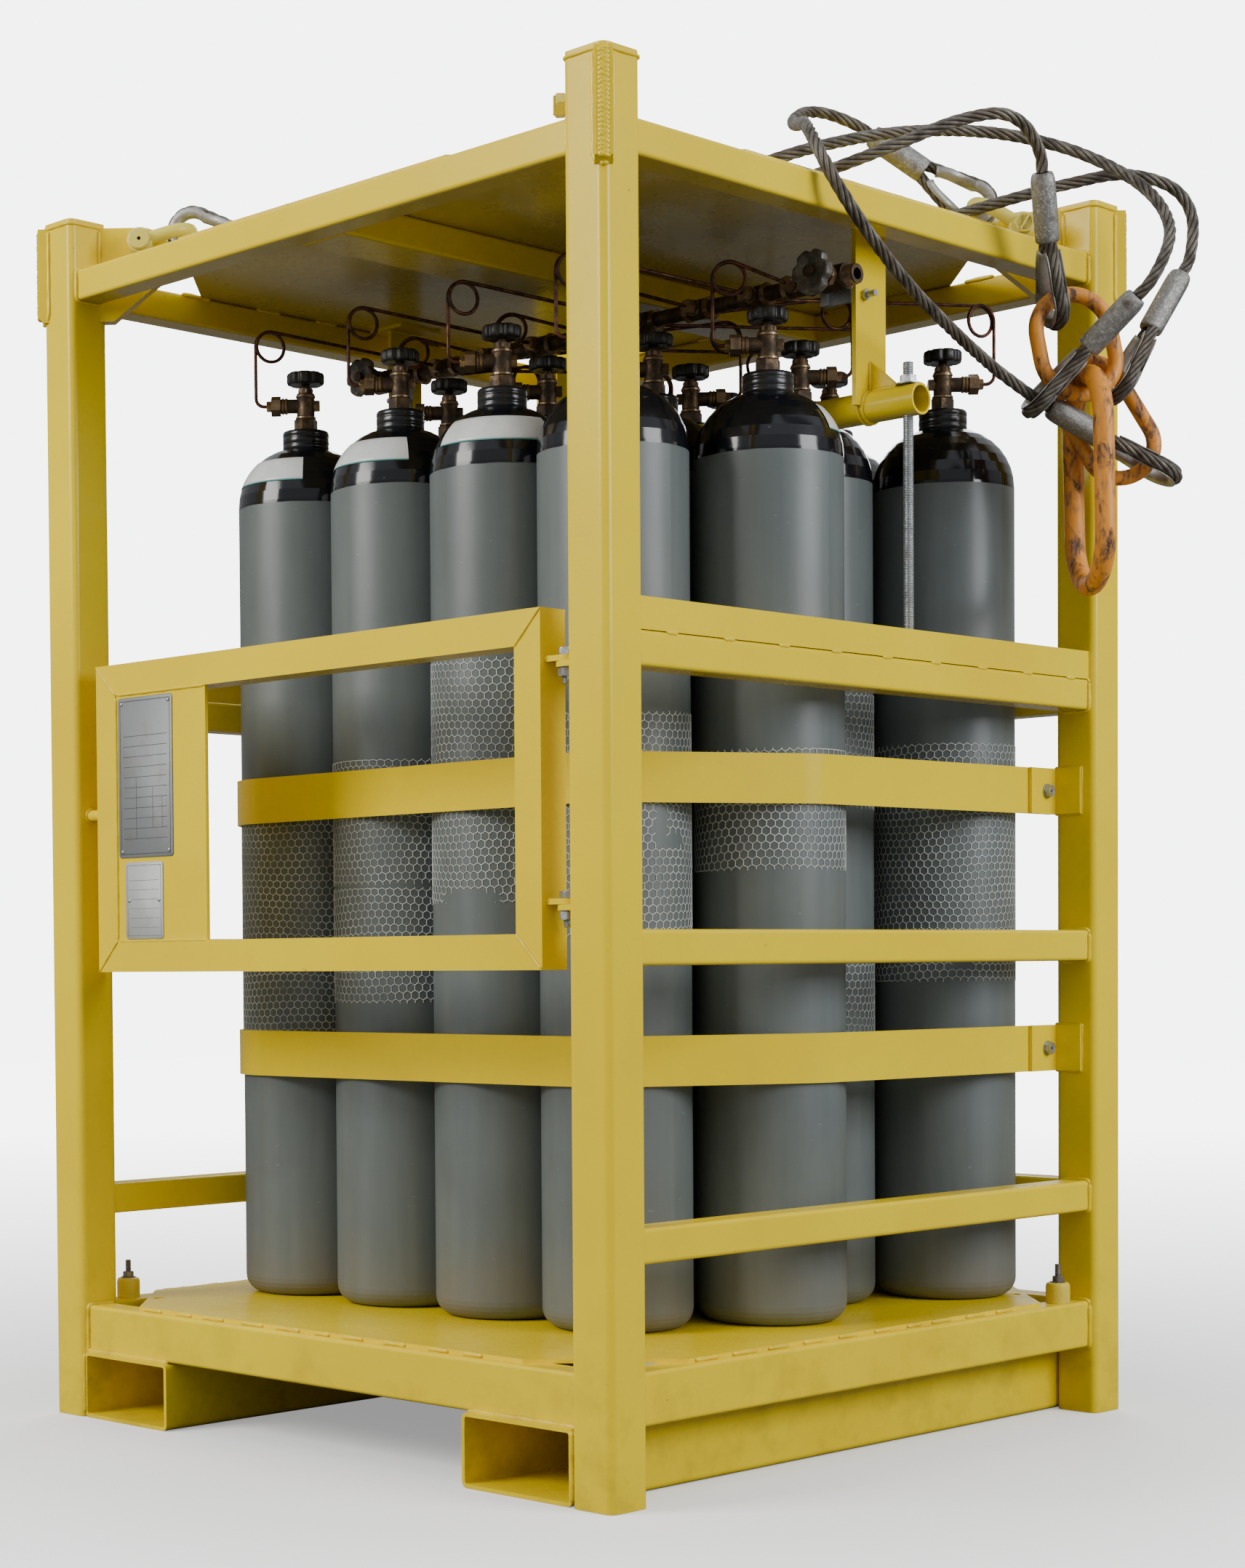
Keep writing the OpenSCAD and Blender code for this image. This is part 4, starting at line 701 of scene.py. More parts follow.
def copper_route(x, y, row, port):
    """Points of one tube: out of the nut, up, once round, and across to its port."""
    way, up = outlet_way(row), Vector(Z)
    start = Vector((x, y, outlet_height))
    path = [start + way*0.054, start + way*0.066]
    path += [start + way*(0.070 + 0.014*math.sin(a)) + up*0.014*(1 - math.cos(a))
             for a in (math.radians(10*k) for k in range(10))]
    riser = start + way*0.084
    end = Vector((port, manifold_y + (-1 if row < 2 else 1)*port_reach, 0))
    reach = Vector((end.x - riser.x, end.y - riser.y, 0))
    along, level = reach.normalized(), manifold_z + 0.008
    aside = Vector((along.y, -along.x, 0))*0.0061
    run, drop = reach.length - turn_radius, level - manifold_z
    leave = math.atan2(-drop, run) + math.acos(turn_radius/math.hypot(run, drop))
    middle = Vector((riser.x, riser.y, level)) + along*turn_radius
    sweep = math.tau + math.pi - leave
    steps = 46
    for k in range(steps + 1):
        angle = math.pi - sweep*k/steps
        path.append(middle + turn_radius*(math.cos(angle)*along + math.sin(angle)*up)
                    + aside*min(1.0, 1.15*k/steps))
    last = path[-1]
    goal = Vector((end.x, end.y, manifold_z)) + Vector((0, (1 if row < 2 else -1)*0.002, 0))
    return path + [last.lerp(goal, k/10) for k in range(1, 11)]


fronts = [bottles[row*4 + i] for i in range(4) for row in (0, 1)]
backs = [bottles[row*4 + i] for i in range(4) for row in (2, 3)]
port_pitch, end_port = 0.115, 0.430
ports = [k*port_pitch for k in range(-3, 4)]
tubes, port_nuts = ([], []), ([], [])
for (x, y, row), port in list(zip(fronts, ports + [end_port])) + list(zip(backs, [-end_port] + ports)):
    side, way = (-1 if row < 2 else 1), outlet_way(row)
    swept(tubes, copper_route(x, y, row, port), tube_radius)
    hexagon(port_nuts, (port, manifold_y + side*0.0225, manifold_z), (0, side, 0), 0.0118, 0.0135,
            turn=port*9)
    hexagon(port_nuts, (port, manifold_y + side*0.0135, manifold_z), (0, side, 0), 0.0138, 0.0070,
            turn=port*5)
    hexagon(port_nuts, Vector((x, y, outlet_height)) + way*0.0575, way, 0.0095, 0.0085)
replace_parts(piece("copper_tubes", *tubes, dark_copper, "rack", "copper_tube"), "pigtails")

# The manifold: one brass pipe of short lengths screwed into cross pieces under the roof, with a
# hexagon at every port and joint. A stop valve with an open screwed outlet closes each end.
stop_valve_x = 0.500
for port in [-end_port] + ports + [end_port]:
    for side in (-1, 1):
        hexagon(port_nuts, (port + side*0.0165, manifold_y, manifold_z), (side, 0, 0), 0.0185, 0.0095,
                turn=port*7)
outlet_threads = [(0.0152 + (0.0009 if k % 2 else 0.0), 0.0195 + k*0.0010) for k in range(16)]
for side in (-1, 1):
    hexagon(port_nuts, (side*0.4735, manifold_y, manifold_z), (side, 0, 0), 0.0205, 0.0115)
    hexagon(port_nuts, (side*stop_valve_x, 0.0175, manifold_z), (0, -1, 0), 0.0175, 0.0100)
    hexagon(port_nuts, (side*stop_valve_x, 0.0005, manifold_z), (0, -1, 0), 0.0150, 0.0095)
    turned(port_nuts, [(0.0152, 0.0185)] + outlet_threads + [(0.0150, 0.0375)], 36,
           (side*stop_valve_x, manifold_y, manifold_z), (Vector(Y), Vector(Z), Vector((side, 0, 0))))
piece("manifold_hexagons", *port_nuts, rubbed_brass, "rack", "aged_brass", smooth=False)
wheel_iron = finish_with("wheel_iron", brass_age,
                         {"Bright": (0.30, 0.29, 0.27, 1), "Brown": (0.095, 0.088, 0.080, 1),
                          "Stain": (0.10, 0.055, 0.03, 1), "Age": 0.5, "Rough": 0.42}, bump=0.0008)
iron_wheel = lobed_wheel("iron_wheel", 0.068, 0.016, 6, 0.00505, 0.005, wheel_iron, rim=0.004, depth=0.17)
for side, name in ((-1, "left"), (1, "right")):
    wheel = bpy.data.objects.new("stop_valve_wheel_" + name, iron_wheel)
    bpy.context.scene.collection.objects.link(wheel)
    wheel.location = (side*stop_valve_x, -0.0143, manifold_z)
    wheel.rotation_euler = (math.radians(90), 0, 0)
    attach(wheel, "manifold_wheel_" + name)
    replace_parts(wheel, "manifold_wheel_" + name)

# The clamping: a painted tube lies across the shoulders of the back rows, and two threaded rods with
# flanged nuts pull it down onto the guard rails. The rods are galvanised, dull and a little spotted.
zinc_skin, given, shown = effect(
    "zinc_skin",
    {"Zinc": (0.6, 0.62, 0.63, 1), "Dull": (0.38, 0.39, 0.38, 1), "Rust": (0.25, 0.10, 0.04, 1),
     "Spangle": 240.0, "Rust Share": 0.3},
    {"Colour": "Color", "Roughness": "Float", "Metal": "Float", "Height": "Float"})
spot = put(zinc_skin, "TexCoord", {}).outputs["Object"]
cells = put(zinc_skin, "TexVoronoi", {"Vector": spot, "Scale": given["Spangle"]}).outputs["Color"]
cell_tone = put(zinc_skin, "SeparateColor", {0: cells}).outputs[0]
haze = put(zinc_skin, "TexNoise", {"Vector": spot, "Scale": 55.0, "Detail": 6.0}).outputs["Fac"]
rusty = put(zinc_skin, "TexNoise",
            {"Vector": spot, "Scale": 30.0, "Detail": 7.0, "Roughness": 0.65}).outputs["Fac"]
spotted = reckoned(zinc_skin, "MULTIPLY", graded(zinc_skin, rusty, 0.56, 0.68), given["Rust Share"])
clouded = reckoned(zinc_skin, "MULTIPLY_ADD", cell_tone, 0.4, graded(zinc_skin, haze, 0.4, 0.7, 0.0, 0.6))
skin = blended(zinc_skin, clouded, given["Zinc"], given["Dull"])
skin = blended(zinc_skin, spotted, skin, given["Rust"])
for socket, output in (("Colour", skin),
                       ("Roughness", reckoned(zinc_skin, "MULTIPLY_ADD", haze, 0.35, 0.22)),
                       ("Metal", graded(zinc_skin, spotted, 0.0, 0.6, 0.9, 0.2)),
                       ("Height", reckoned(zinc_skin, "ADD", cell_tone, haze))):
    zinc_skin.links.new(output, shown[socket])
bright_zinc = finish_with("bright_zinc", zinc_skin,
                          {"Zinc": (0.50, 0.53, 0.55, 1), "Dull": (0.30, 0.32, 0.33, 1),
                           "Rust": (0.22, 0.10, 0.045, 1), "Spangle": 300.0, "Rust Share": 0.3},
                          bump=0.0002)
rod_parts = ([], [])
for side in (-1, 1):
    foot = (side*rail_line, clamp_y, 0)
    teeth, height, low, high = [(0.0030, 1.1800)], 1.1815, 0.0071, 0.0080
    while height < 1.6485:
        teeth += [(low, height), (high, height + 0.0010), (high, height + 0.0016)]
        height += 0.0026
    turned(rod_parts, teeth + [(low, 1.6492), (0.0030, 1.6500)], 16, foot)
    for level in (1.1970, 1.6155):
        turned(rod_parts, [(0.0085, level), (0.0192, level + 0.0002), (0.0192, level + 0.0018),
                           (0.0085, level + 0.0026)], 36, foot)
        hexagon(rod_parts, Vector(foot) + Vector(Z)*(level + 0.0022), Z, 0.0139, 0.0110, turn=side*0.3)
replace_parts(piece("threaded_rods", *rod_parts, bright_zinc, "rack", "zinc_fasteners", smooth=False),
            "tie_rods")

# The band bolts: hexagon bolts and washers through the bands and their cleats, zinc plated, with a
# few threads beyond each nut.
band_parts = ([], [])
for side in (-1, 1):
    for level in band_levels:
        at, way = Vector((0, 0.518, level + 0.0375)), Vector((side, 0, 0))
        turned_axes = (Vector(Y), way.cross(Vector(Y)), way)
        turned(band_parts, [(0.0062, 0.5540), (0.0120, 0.5541), (0.0120, 0.5562), (0.0062, 0.5565)],
               32, at, turned_axes)
        hexagon(band_parts, at + way*0.5563, way, 0.0108, 0.0072, turn=level)
        turned(band_parts, [(0.0020, 0.5618), (0.0070, 0.5636), (0.0082, 0.5632)], 24, at, turned_axes)
        hexagon(band_parts, at + way*0.5420, -way, 0.0108, 0.0098, turn=level*3)
        teeth = [(0.0050 if k % 2 else 0.0059, 0.5292 + k*0.0006) for k in range(24)]
        turned(band_parts, [(0.0010, 0.5288)] + teeth, 20, at, turned_axes)
        turned(band_parts, [(0.0060, 0.5400), (0.0060, 0.5560)], 20, at, turned_axes)
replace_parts(piece("band_bolt_sets", *band_parts, bright_zinc, "rack", "zinc_fasteners", smooth=False),
            "band_bolts")
clothe("manifold_clips", bright_zinc)

# The swing gate: square tubes mitred at the corners, the welds ground flush outside but plain to see,
# with a closed sheet panel let in beside its left post. It takes the frame's enamel.
gate_left, gate_right, gate_low, gate_high = -0.509, 0.491, 0.735, 1.233
gate_front, gate_depth, gate_tube = -0.613, 0.050, 0.050
gate_welds = ([], [])
for x, inside in ((gate_left, gate_left + gate_tube), (gate_right, gate_right - gate_tube)):
    for z, opened in ((gate_low, gate_low + gate_tube), (gate_high, gate_high - gate_tube)):
        for y in (gate_front, gate_front + gate_depth):
            lay_bead(gate_welds, [(x, y, z), (inside, y, opened)], 0.0022, 0.0036)
        lay_bead(gate_welds, [(inside, gate_front, opened), (inside, gate_front + gate_depth, opened)],
                 0.0026)
panel_right = gate_left + gate_tube + 0.226
for y in (-0.6115, -0.6045):
    for z in (gate_low + gate_tube, gate_high - gate_tube):
        lay_bead(gate_welds, [(gate_left + gate_tube + 0.004, y, z), (panel_right - 0.002, y, z)], 0.0024)
    lay_bead(gate_welds, [(gate_left + gate_tube, y, gate_low + gate_tube + 0.004),
                          (gate_left + gate_tube, y, gate_high - gate_tube - 0.004)], 0.0024)
lug_x = gate_right + 0.0006
for level in hinge_levels:
    for y in (-0.6041, -0.5719):
        lay_bead(gate_welds, [(lug_x, y, level + 0.0003), (lug_x, y, level + 0.0080)], 0.0020)
    lay_bead(gate_welds, [(lug_x, -0.604, level + 0.0082), (lug_x, -0.572, level + 0.0082)], 0.0022)
piece("gate_weld_beads", *gate_welds, weld_skin, "gate", "yellow_paint")

# The data plates: two etched sheets riveted to the gate's panel, one large and grey, one small and
# pale. Their faces hold a thin frame and ruled lines alone.
plate_skin, given, shown = effect(
    "plate_skin",
    {"Metal Tone": (0.55, 0.56, 0.57, 1), "Soil": (0.3, 0.28, 0.22, 1), "Brush": 300.0, "Dirt": 0.4},
    {"Colour": "Color", "Roughness": "Float", "Height": "Float"})
spot = put(plate_skin, "TexCoord", {}).outputs["Object"]
stretched = put(plate_skin, "Mapping", {"Vector": spot, "Scale": (1.0, 1.0, 0.03)}).outputs["Vector"]
brushed = put(plate_skin, "TexNoise",
              {"Vector": stretched, "Scale": given["Brush"], "Detail": 4.0}).outputs["Fac"]
soil = put(plate_skin, "TexNoise",
           {"Vector": spot, "Scale": 24.0, "Detail": 6.0, "Roughness": 0.6}).outputs["Fac"]
soiled = reckoned(plate_skin, "MULTIPLY", graded(plate_skin, soil, 0.5, 0.75), given["Dirt"])
for socket, output in (("Colour", blended(plate_skin, soiled, given["Metal Tone"], given["Soil"])),
                       ("Roughness", reckoned(plate_skin, "MULTIPLY_ADD", brushed, 0.22, 0.40)),
                       ("Height", brushed)):
    plate_skin.links.new(output, shown[socket])
etched_grey = finish_with("etched_grey", plate_skin,
                          {"Metal Tone": (0.205, 0.215, 0.22, 1), "Soil": (0.16, 0.155, 0.12, 1),
                           "Brush": 260.0, "Dirt": 0.5},
                          bump=0.0001, Metallic=0.2)
etched_pale = finish_with("etched_pale", plate_skin,
                          {"Metal Tone": (0.42, 0.43, 0.42, 1), "Soil": (0.30, 0.28, 0.20, 1),
                           "Brush": 300.0, "Dirt": 0.4},
                          bump=0.0001, Metallic=0.2)
etched_lines = finish_with("etched_lines", plate_skin,
                           {"Metal Tone": (0.045, 0.047, 0.05, 1), "Soil": (0.10, 0.09, 0.07, 1),
                            "Brush": 300.0, "Dirt": 0.3},
                           bump=0.0001, Metallic=0.1)


def sheet_plate(store, x, z, width, height, front, back, corner=0.006):
    """A thin plate with round corners and a soft front edge, standing on the panel."""
    points, faces = store
    first, ring = len(points), []
    for quarter, (sx, sz) in enumerate(((1, 1), (-1, 1), (-1, -1), (1, -1))):
        for step in range(6):
            angle = math.radians(90*quarter + 18*step)
            ring.append((sx, sz, math.cos(angle), math.sin(angle)))
    layers = ((back, 0.0), (front + 0.0004, 0.0), (front, 0.0004))
    for y, inset in layers:
        for sx, sz, cos, sin in ring:
            points.append(Vector((x + width/2 + sx*(width/2 - corner) + (corner - inset)*cos, y,
                                  z + height/2 + sz*(height/2 - corner) + (corner - inset)*sin)))
    count = len(ring)
    for layer in range(2):
        for side in range(count):
            a, b = first + layer*count + side, first + layer*count + (side + 1) % count
            faces.append((a, b, b + count, a + count))
    faces.append(tuple(first + 2*count + side for side in range(count)))
    faces.append(tuple(first + side for side in reversed(range(count))))


def ruled(store, x, z, width, height, y):
    """A flat ruled bar on a plate's face, a hair proud of it."""
    points, faces = store
    first = len(points)
    for layer in (y, y + 0.00012):
        points.extend(Vector(p) for p in ((x, layer, z), (x + width, layer, z),
                                          (x + width, layer, z + height), (x, layer, z + height)))
    faces.append((first, first + 1, first + 2, first + 3))
    for side in range(4):
        other = (side + 1) % 4
        faces.append((first + side, first + 4 + side, first + 4 + other, first + other))


plates_big, plates_small, lines, rivets, marks = ([], []), ([], []), ([], []), ([], []), ([], [])
open_x, open_z, face_y, plate_thickness = -0.459, 0.785, -0.611, 0.0015
big = (open_x + 0.006, open_z + 0.134, 0.139, 0.258)
small = (open_x + 0.022, open_z + 0.003, 0.096, 0.124)
sheet_plate(plates_big, *big, face_y - plate_thickness, face_y)
sheet_plate(plates_small, *small, face_y - plate_thickness, face_y)
line_y = face_y - 0.00162


def thin_frame(store, place, inset, thick):
    """Four ruled bars just inside a plate's edge."""
    x, z, width, height = place
    for bar in ((x + inset, z + inset, width - 2*inset, thick),
                (x + inset, z + height - inset - thick, width - 2*inset, thick),
                (x + inset, z + inset, thick, height - 2*inset),
                (x + width - inset - thick, z + inset, thick, height - 2*inset)):
        ruled(store, *bar, line_y)


thin_frame(lines, big, 0.0055, 0.0011)
x, z, width, height = big
for row in range(11):
    ruled(lines, x + 0.014, z + 0.030 + row*0.0165, width - 0.028, 0.0008, line_y)
for column, foot, top in ((0.046, 0.030, 0.129), (0.088, 0.0465, 0.112), (0.112, 0.0465, 0.0960)):
    ruled(lines, x + column, z + foot, 0.0008, top - foot, line_y)
x, z, width, height = small
for row in range(6):
    ruled(marks, x + 0.010, z + 0.018 + row*0.0152, width - 0.020, 0.0007, line_y)
thin_frame(marks, small, 0.005, 0.0009)
for x, z, width, height in (big, small):
    for sx in (0.010, width - 0.010):
        for sz in ((0.010, height - 0.010) if height > 0.2 else (height/2,)):
            turned(rivets, [(0.0032, 0), (0.0031, 0.0006), (0.0024, 0.0013), (0.0012, 0.0016),
                            (0.0001, 0.0017)], 20, (x + sx, face_y - plate_thickness, z + sz),
                   (Vector(X), -Vector(Z), -Vector(Y)))
plate = piece("plate_large", *plates_big, etched_grey, "gate", "bare_plates")
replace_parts(plate, "data_plates")
piece("plate_small", *plates_small, etched_pale, "gate", "bare_plates")
piece("plate_rulings", *lines, etched_lines, "gate", "bare_plates", smooth=False)
piece("plate_small_rulings", *marks, etched_grey, "gate", "bare_plates", smooth=False)
piece("plate_rivets", *rivets, bright_zinc, "gate", "bare_plates")

# The hinge bolts: each gate lug sits on a post lug round a long hexagon bolt, held by a plain nut with
# a split pin through the bolt's tail.
hinge_parts, tail = ([], []), 0.0110
for level in hinge_levels:
    foot = Vector((hinge_x, hinge_y, level))
    hexagon(hinge_parts, foot + Vector(Z)*0.0083, Z, 0.0138, 0.0100, turn=level)
    turned(hinge_parts, [(0.0002, 0.0190), (0.0105, 0.0190), (0.0112, 0.0183)], 30, foot)
    under = foot - Vector(Z)*0.0083
    hexagon(hinge_parts, under, (0, 0, -1), 0.0138, 0.0128, turn=level*2)
    teeth = [(0.0080 if k % 2 else 0.0071, -0.0128 - 0.0010*k) for k in range(10)]
    thread = [(0.0080, 0.0010)] + teeth + [(0.0062, -0.0232), (0.0002, -0.0236)]
    turned(hinge_parts, thread[::-1], 24, under)
    pin_z = under.z - 0.0172
    line = [Vector((hinge_x + tail*k, hinge_y - tail*k, pin_z)) for k in (-1.0, -0.3, 0.4, 1.0)]
    swept(hinge_parts, line, 0.0014, 8)
    bend = [math.tau*k/14 for k in range(15)]
    eye = [Vector((hinge_x + tail, hinge_y - tail, pin_z))
           + 0.0026*Vector((0.7071*(1 - math.cos(a)), -0.7071*(1 - math.cos(a)), math.sin(a))) for a in bend]
    swept(hinge_parts, eye, 0.0012, 6)
    for leg in (((0.5050, -0.5760, 0.003), (0.5030, -0.5775, 0.007)),
                ((0.5055, -0.5735, -0.003), (0.5065, -0.5712, -0.007))):
        spread = [Vector((hinge_x - tail, hinge_y + tail, pin_z))]
        spread += [Vector((x, y, pin_z + off)) for x, y, off in leg]
        swept(hinge_parts, spread, 0.0012, 6)
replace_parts(piece("hinge_bolt_sets", *hinge_parts, bright_zinc, "rack", "zinc_fasteners", smooth=False),
            "hinge_bolts")

# The earth bosses: turned blocks welded to the floor's corners, painted over, each with a bare stud
# and nut on a toothed washer for an earth strap.
boss_skin = finish_with("boss_skin", enamel_wear,
                        {"Enamel": (0.86, 0.63, 0.01, 1), "Faded": (0.74, 0.54, 0.04, 1),
                         "Bare": (0.20, 0.17, 0.12, 1), "Grime": (0.30, 0.26, 0.14, 1),
                         "Chips": 0.55, "Grime Share": 0.6, "Gloss": 0.4, "Peel": 0.5}, bump=0.0012)
old_stud = finish_with("old_stud", zinc_skin,
                       {"Zinc": (0.30, 0.29, 0.27, 1), "Dull": (0.16, 0.14, 0.12, 1),
                        "Rust": (0.11, 0.05, 0.025, 1), "Spangle": 300.0, "Rust Share": 1.0}, bump=0.0004)


def toothed(angle, radius, height):
    """The sixteen teeth round the rim of a lock washer."""
    return 1.0 - (0.07*(0.5 + 0.5*math.cos(16*angle)) if radius > 0.01 else 0.0)


boss_parts, stud_parts = ([], []), ([], [])
for x, y in ((0.590, 0.493), (-0.590, -0.497)):
    turned(boss_parts, [(0.0194, 0.1842), (0.0194, 0.2105), (0.0186, 0.2150), (0.0165, 0.2172),
                        (0.0010, 0.2174)], 44, (x, y, 0))
    turned(stud_parts, [(0.0052, 0.2172), (0.0122, 0.2174), (0.0122, 0.2192), (0.0052, 0.2196)], 32,
           (x, y, 0), swell=toothed)
    hexagon(stud_parts, (x, y, 0.2194), Z, 0.0096, 0.0084, turn=x)
    teeth = [(0.0050 if k % 2 else 0.0043, 0.2270 + 0.0010*k) for k in range(20)]
    turned(stud_parts, teeth + [(0.0038, 0.2474), (0.0002, 0.2478)], 20, (x, y, 0))
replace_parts(piece("earth_boss_blocks", *boss_parts, boss_skin, "rack", "yellow_paint"), "earth_bosses")
piece("earth_studs", *stud_parts, old_stud, "rack", "zinc_fasteners", smooth=False)

# The lifting lugs' shackles: forged bows on thick pins, painted over with the frame, chipped on
# their bearing faces. A hexagon nut and a split pin hold each pin in its eye.
corner_out, pin_height = post_face*math.sqrt(2) - 0.059, 1.932
bow_reach, bow_leg, bow_bar = 0.084, 0.036, 0.011
shackle_iron = finish_with("shackle_iron", enamel_wear,
                           {"Enamel": (0.80, 0.68, 0.06, 1), "Faded": (0.66, 0.56, 0.12, 1),
                            "Bare": (0.16, 0.11, 0.07, 1), "Grime": (0.22, 0.16, 0.06, 1),
                            "Chips": 0.34, "Grime Share": 0.5, "Gloss": 0.34, "Peel": 0.5},
                           bump=0.0010, Coat_Weight=0.12)
shackle_parts, pin_parts = ([], []), ([], [])
for turn, tilt in zip((225, 135, 45, -45), (31, 12, 16, 16)):
    turn, tilt = math.radians(turn), math.radians(tilt)
    inward = Vector((math.cos(turn), math.sin(turn), 0))
    pin_at = inward*-corner_out + Vector(Z)*pin_height
    across = Vector((-inward.y, inward.x, 0))
    reach = inward*math.cos(tilt) + Vector(Z)*math.sin(tilt)
    bow = [pin_at + across*bow_leg + reach*(k*0.0125) for k in range(4)]
    bow += [pin_at + reach*(bow_reach - bow_leg)
            + bow_leg*(math.cos(math.pi*k/16)*across + math.sin(math.pi*k/16)*reach) for k in range(17)]
    bow += [pin_at - across*bow_leg + reach*(k*0.0125) for k in (3, 2, 1, 0)]
    swept(shackle_parts, bow, bow_bar, 18)
    for side in (-1, 1):
        axes = (reach, across.cross(reach)*side, across*side)
        turned(shackle_parts, [(0.0127, 0.0235), (0.0195, 0.0235), (0.0212, 0.0250), (0.0212, 0.0430),
                               (0.0195, 0.0445), (0.0127, 0.0445)], 32, pin_at, axes)
    hexagon(pin_parts, pin_at + across*0.0445, across, 0.0172, 0.0140)
    axes = (reach, -across.cross(reach), -across)
    turned(pin_parts, [(0.0030, 0.0445), (0.0150, 0.0447), (0.0168, 0.0460), (0.0168, 0.0530),
                       (0.0150, 0.0548), (0.0030, 0.0550)], 32, pin_at, axes)
    pin = [pin_at + across*(-0.0440 + 0.0110*k) for k in range(9)] + [pin_at + across*0.0585]
    swept(pin_parts, pin, 0.0122, 22)
    split = [pin_at + across*0.0600 + reach.cross(across)*0.0135*k for k in (-1, -0.3, 0.3, 1)]
    swept(pin_parts, split, 0.0017, 8)
piece("shackle_pins", *pin_parts, shackle_iron, "rack", "yellow_paint", smooth=False)
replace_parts(piece("shackles_forged", *shackle_parts, shackle_iron, "rack", "yellow_paint"), "shackles")

# The sling: four legs of six-strand wire rope, each spliced round a steel thimble at both ends and
# held by a pressed alloy ferrule. Greasy and weathered, it lies loose over the roof.
rope_tone, given, shown = effect(
    "rope_tone", {"Wire": (0.3, 0.28, 0.25, 1), "Grease": (0.05, 0.04, 0.03, 1),
                  "Rust": (0.2, 0.09, 0.04, 1), "Dirt": 0.5, "Rub": 0.5},
    {"Colour": "Color", "Roughness": "Float", "Metal": "Float", "Height": "Float"})
spot = put(rope_tone, "TexCoord", {}).outputs["Object"]
lay_lines = put(rope_tone, "TexNoise",
                {"Vector": spot, "Scale": 900.0, "Detail": 2.0, "Distortion": 0.6}).outputs["Fac"]
soiled = put(rope_tone, "TexNoise",
             {"Vector": spot, "Scale": 38.0, "Detail": 7.0, "Roughness": 0.62}).outputs["Fac"]
bitten = put(rope_tone, "TexNoise", {"Vector": spot, "Scale": 15.0, "Detail": 4.0}).outputs["Fac"]
greased = graded(rope_tone, reckoned(rope_tone, "ADD", soiled, given["Dirt"]), 0.80, 1.12)
tone = blended(rope_tone, greased, given["Wire"], given["Grease"])
rusted = reckoned(rope_tone, "MULTIPLY", graded(rope_tone, bitten, 0.52, 0.70), given["Rub"])
tone = blended(rope_tone, rusted, tone, given["Rust"])
for socket, output in (("Colour", tone),
                       ("Roughness", graded(rope_tone, greased, 0.0, 1.0, 0.42, 0.62)),
                       ("Metal", graded(rope_tone, greased, 0.0, 1.0, 0.75, 0.25)),
                       ("Height", reckoned(rope_tone, "ADD", lay_lines, soiled))):
    rope_tone.links.new(output, shown[socket])
rope_wire = finish_with("rope_wire", rope_tone,
                        {"Wire": (0.25, 0.23, 0.195, 1), "Grease": (0.055, 0.046, 0.036, 1),
                         "Rust": (0.12, 0.075, 0.045, 1), "Dirt": 0.50, "Rub": 0.5}, bump=0.0006)
rope_radius, lay_length, strand_radius, core_radius = 0.0095, 0.118, 0.0031, 0.0038
eye_radius, eye_throat, ferrule_length = 0.034, 0.095, 0.105


def smooth_route(points, spacing):
    """Close, evenly spaced points on a centripetal curve through the given ones."""
    held = [Vector(p) for p in points]
    held = [held[0]*2 - held[1]] + held + [held[-1]*2 - held[-2]]
    out = []
    for a, b, c, d in zip(held, held[1:], held[2:], held[3:]):
        steps = max(2, round((c - b).length/0.003))
        knots = [0.0]
        for p, q in ((a, b), (b, c), (c, d)):
            knots.append(knots[-1] + math.sqrt(max((q - p).length, 1e-6)))
        for k in range(steps):
            t = knots[1] + (knots[2] - knots[1])*k/steps
            ab = a.lerp(b, (t - knots[0])/(knots[1] - knots[0]))
            bc = b.lerp(c, (t - knots[1])/(knots[2] - knots[1]))
            cd = c.lerp(d, (t - knots[2])/(knots[3] - knots[2]))
            abc = ab.lerp(bc, (t - knots[0])/(knots[2] - knots[0]))
            bcd = bc.lerp(cd, (t - knots[1])/(knots[3] - knots[1]))
            out.append(abc.lerp(bcd, (t - knots[1])/(knots[2] - knots[1])))
    out.append(held[-2])
    return resampled(out, spacing)


def rope_strands(store, route, phase=0.0):
    """Six twisted strands round a core, swept along close points on the rope's middle line."""
    frames, upright = [], None
    for index, centre in enumerate(route):
        way = (route[min(index + 1, len(route) - 1)] - route[max(index - 1, 0)]).normalized()
        carried = way.orthogonal() if upright is None else upright - way*upright.dot(way)
        upright = carried.normalized()
        frames.append((centre, upright, way.cross(upright)))
    run, travelled = 0.0, [0.0]
    for p, q in zip(route, route[1:]):
        run += (q - p).length
        travelled.append(run)
    for strand in range(7):
        path = []
        for (centre, up_way, side_way), along in zip(frames, travelled):
            angle = math.tau*(along/lay_length + strand/6) + phase
            off = 0.0 if strand == 6 else rope_radius - strand_radius
            path.append(centre + off*(math.cos(angle)*up_way + math.sin(angle)*side_way))
        swept(store, path, strand_radius if strand < 6 else core_radius, 8 if strand < 6 else 5)


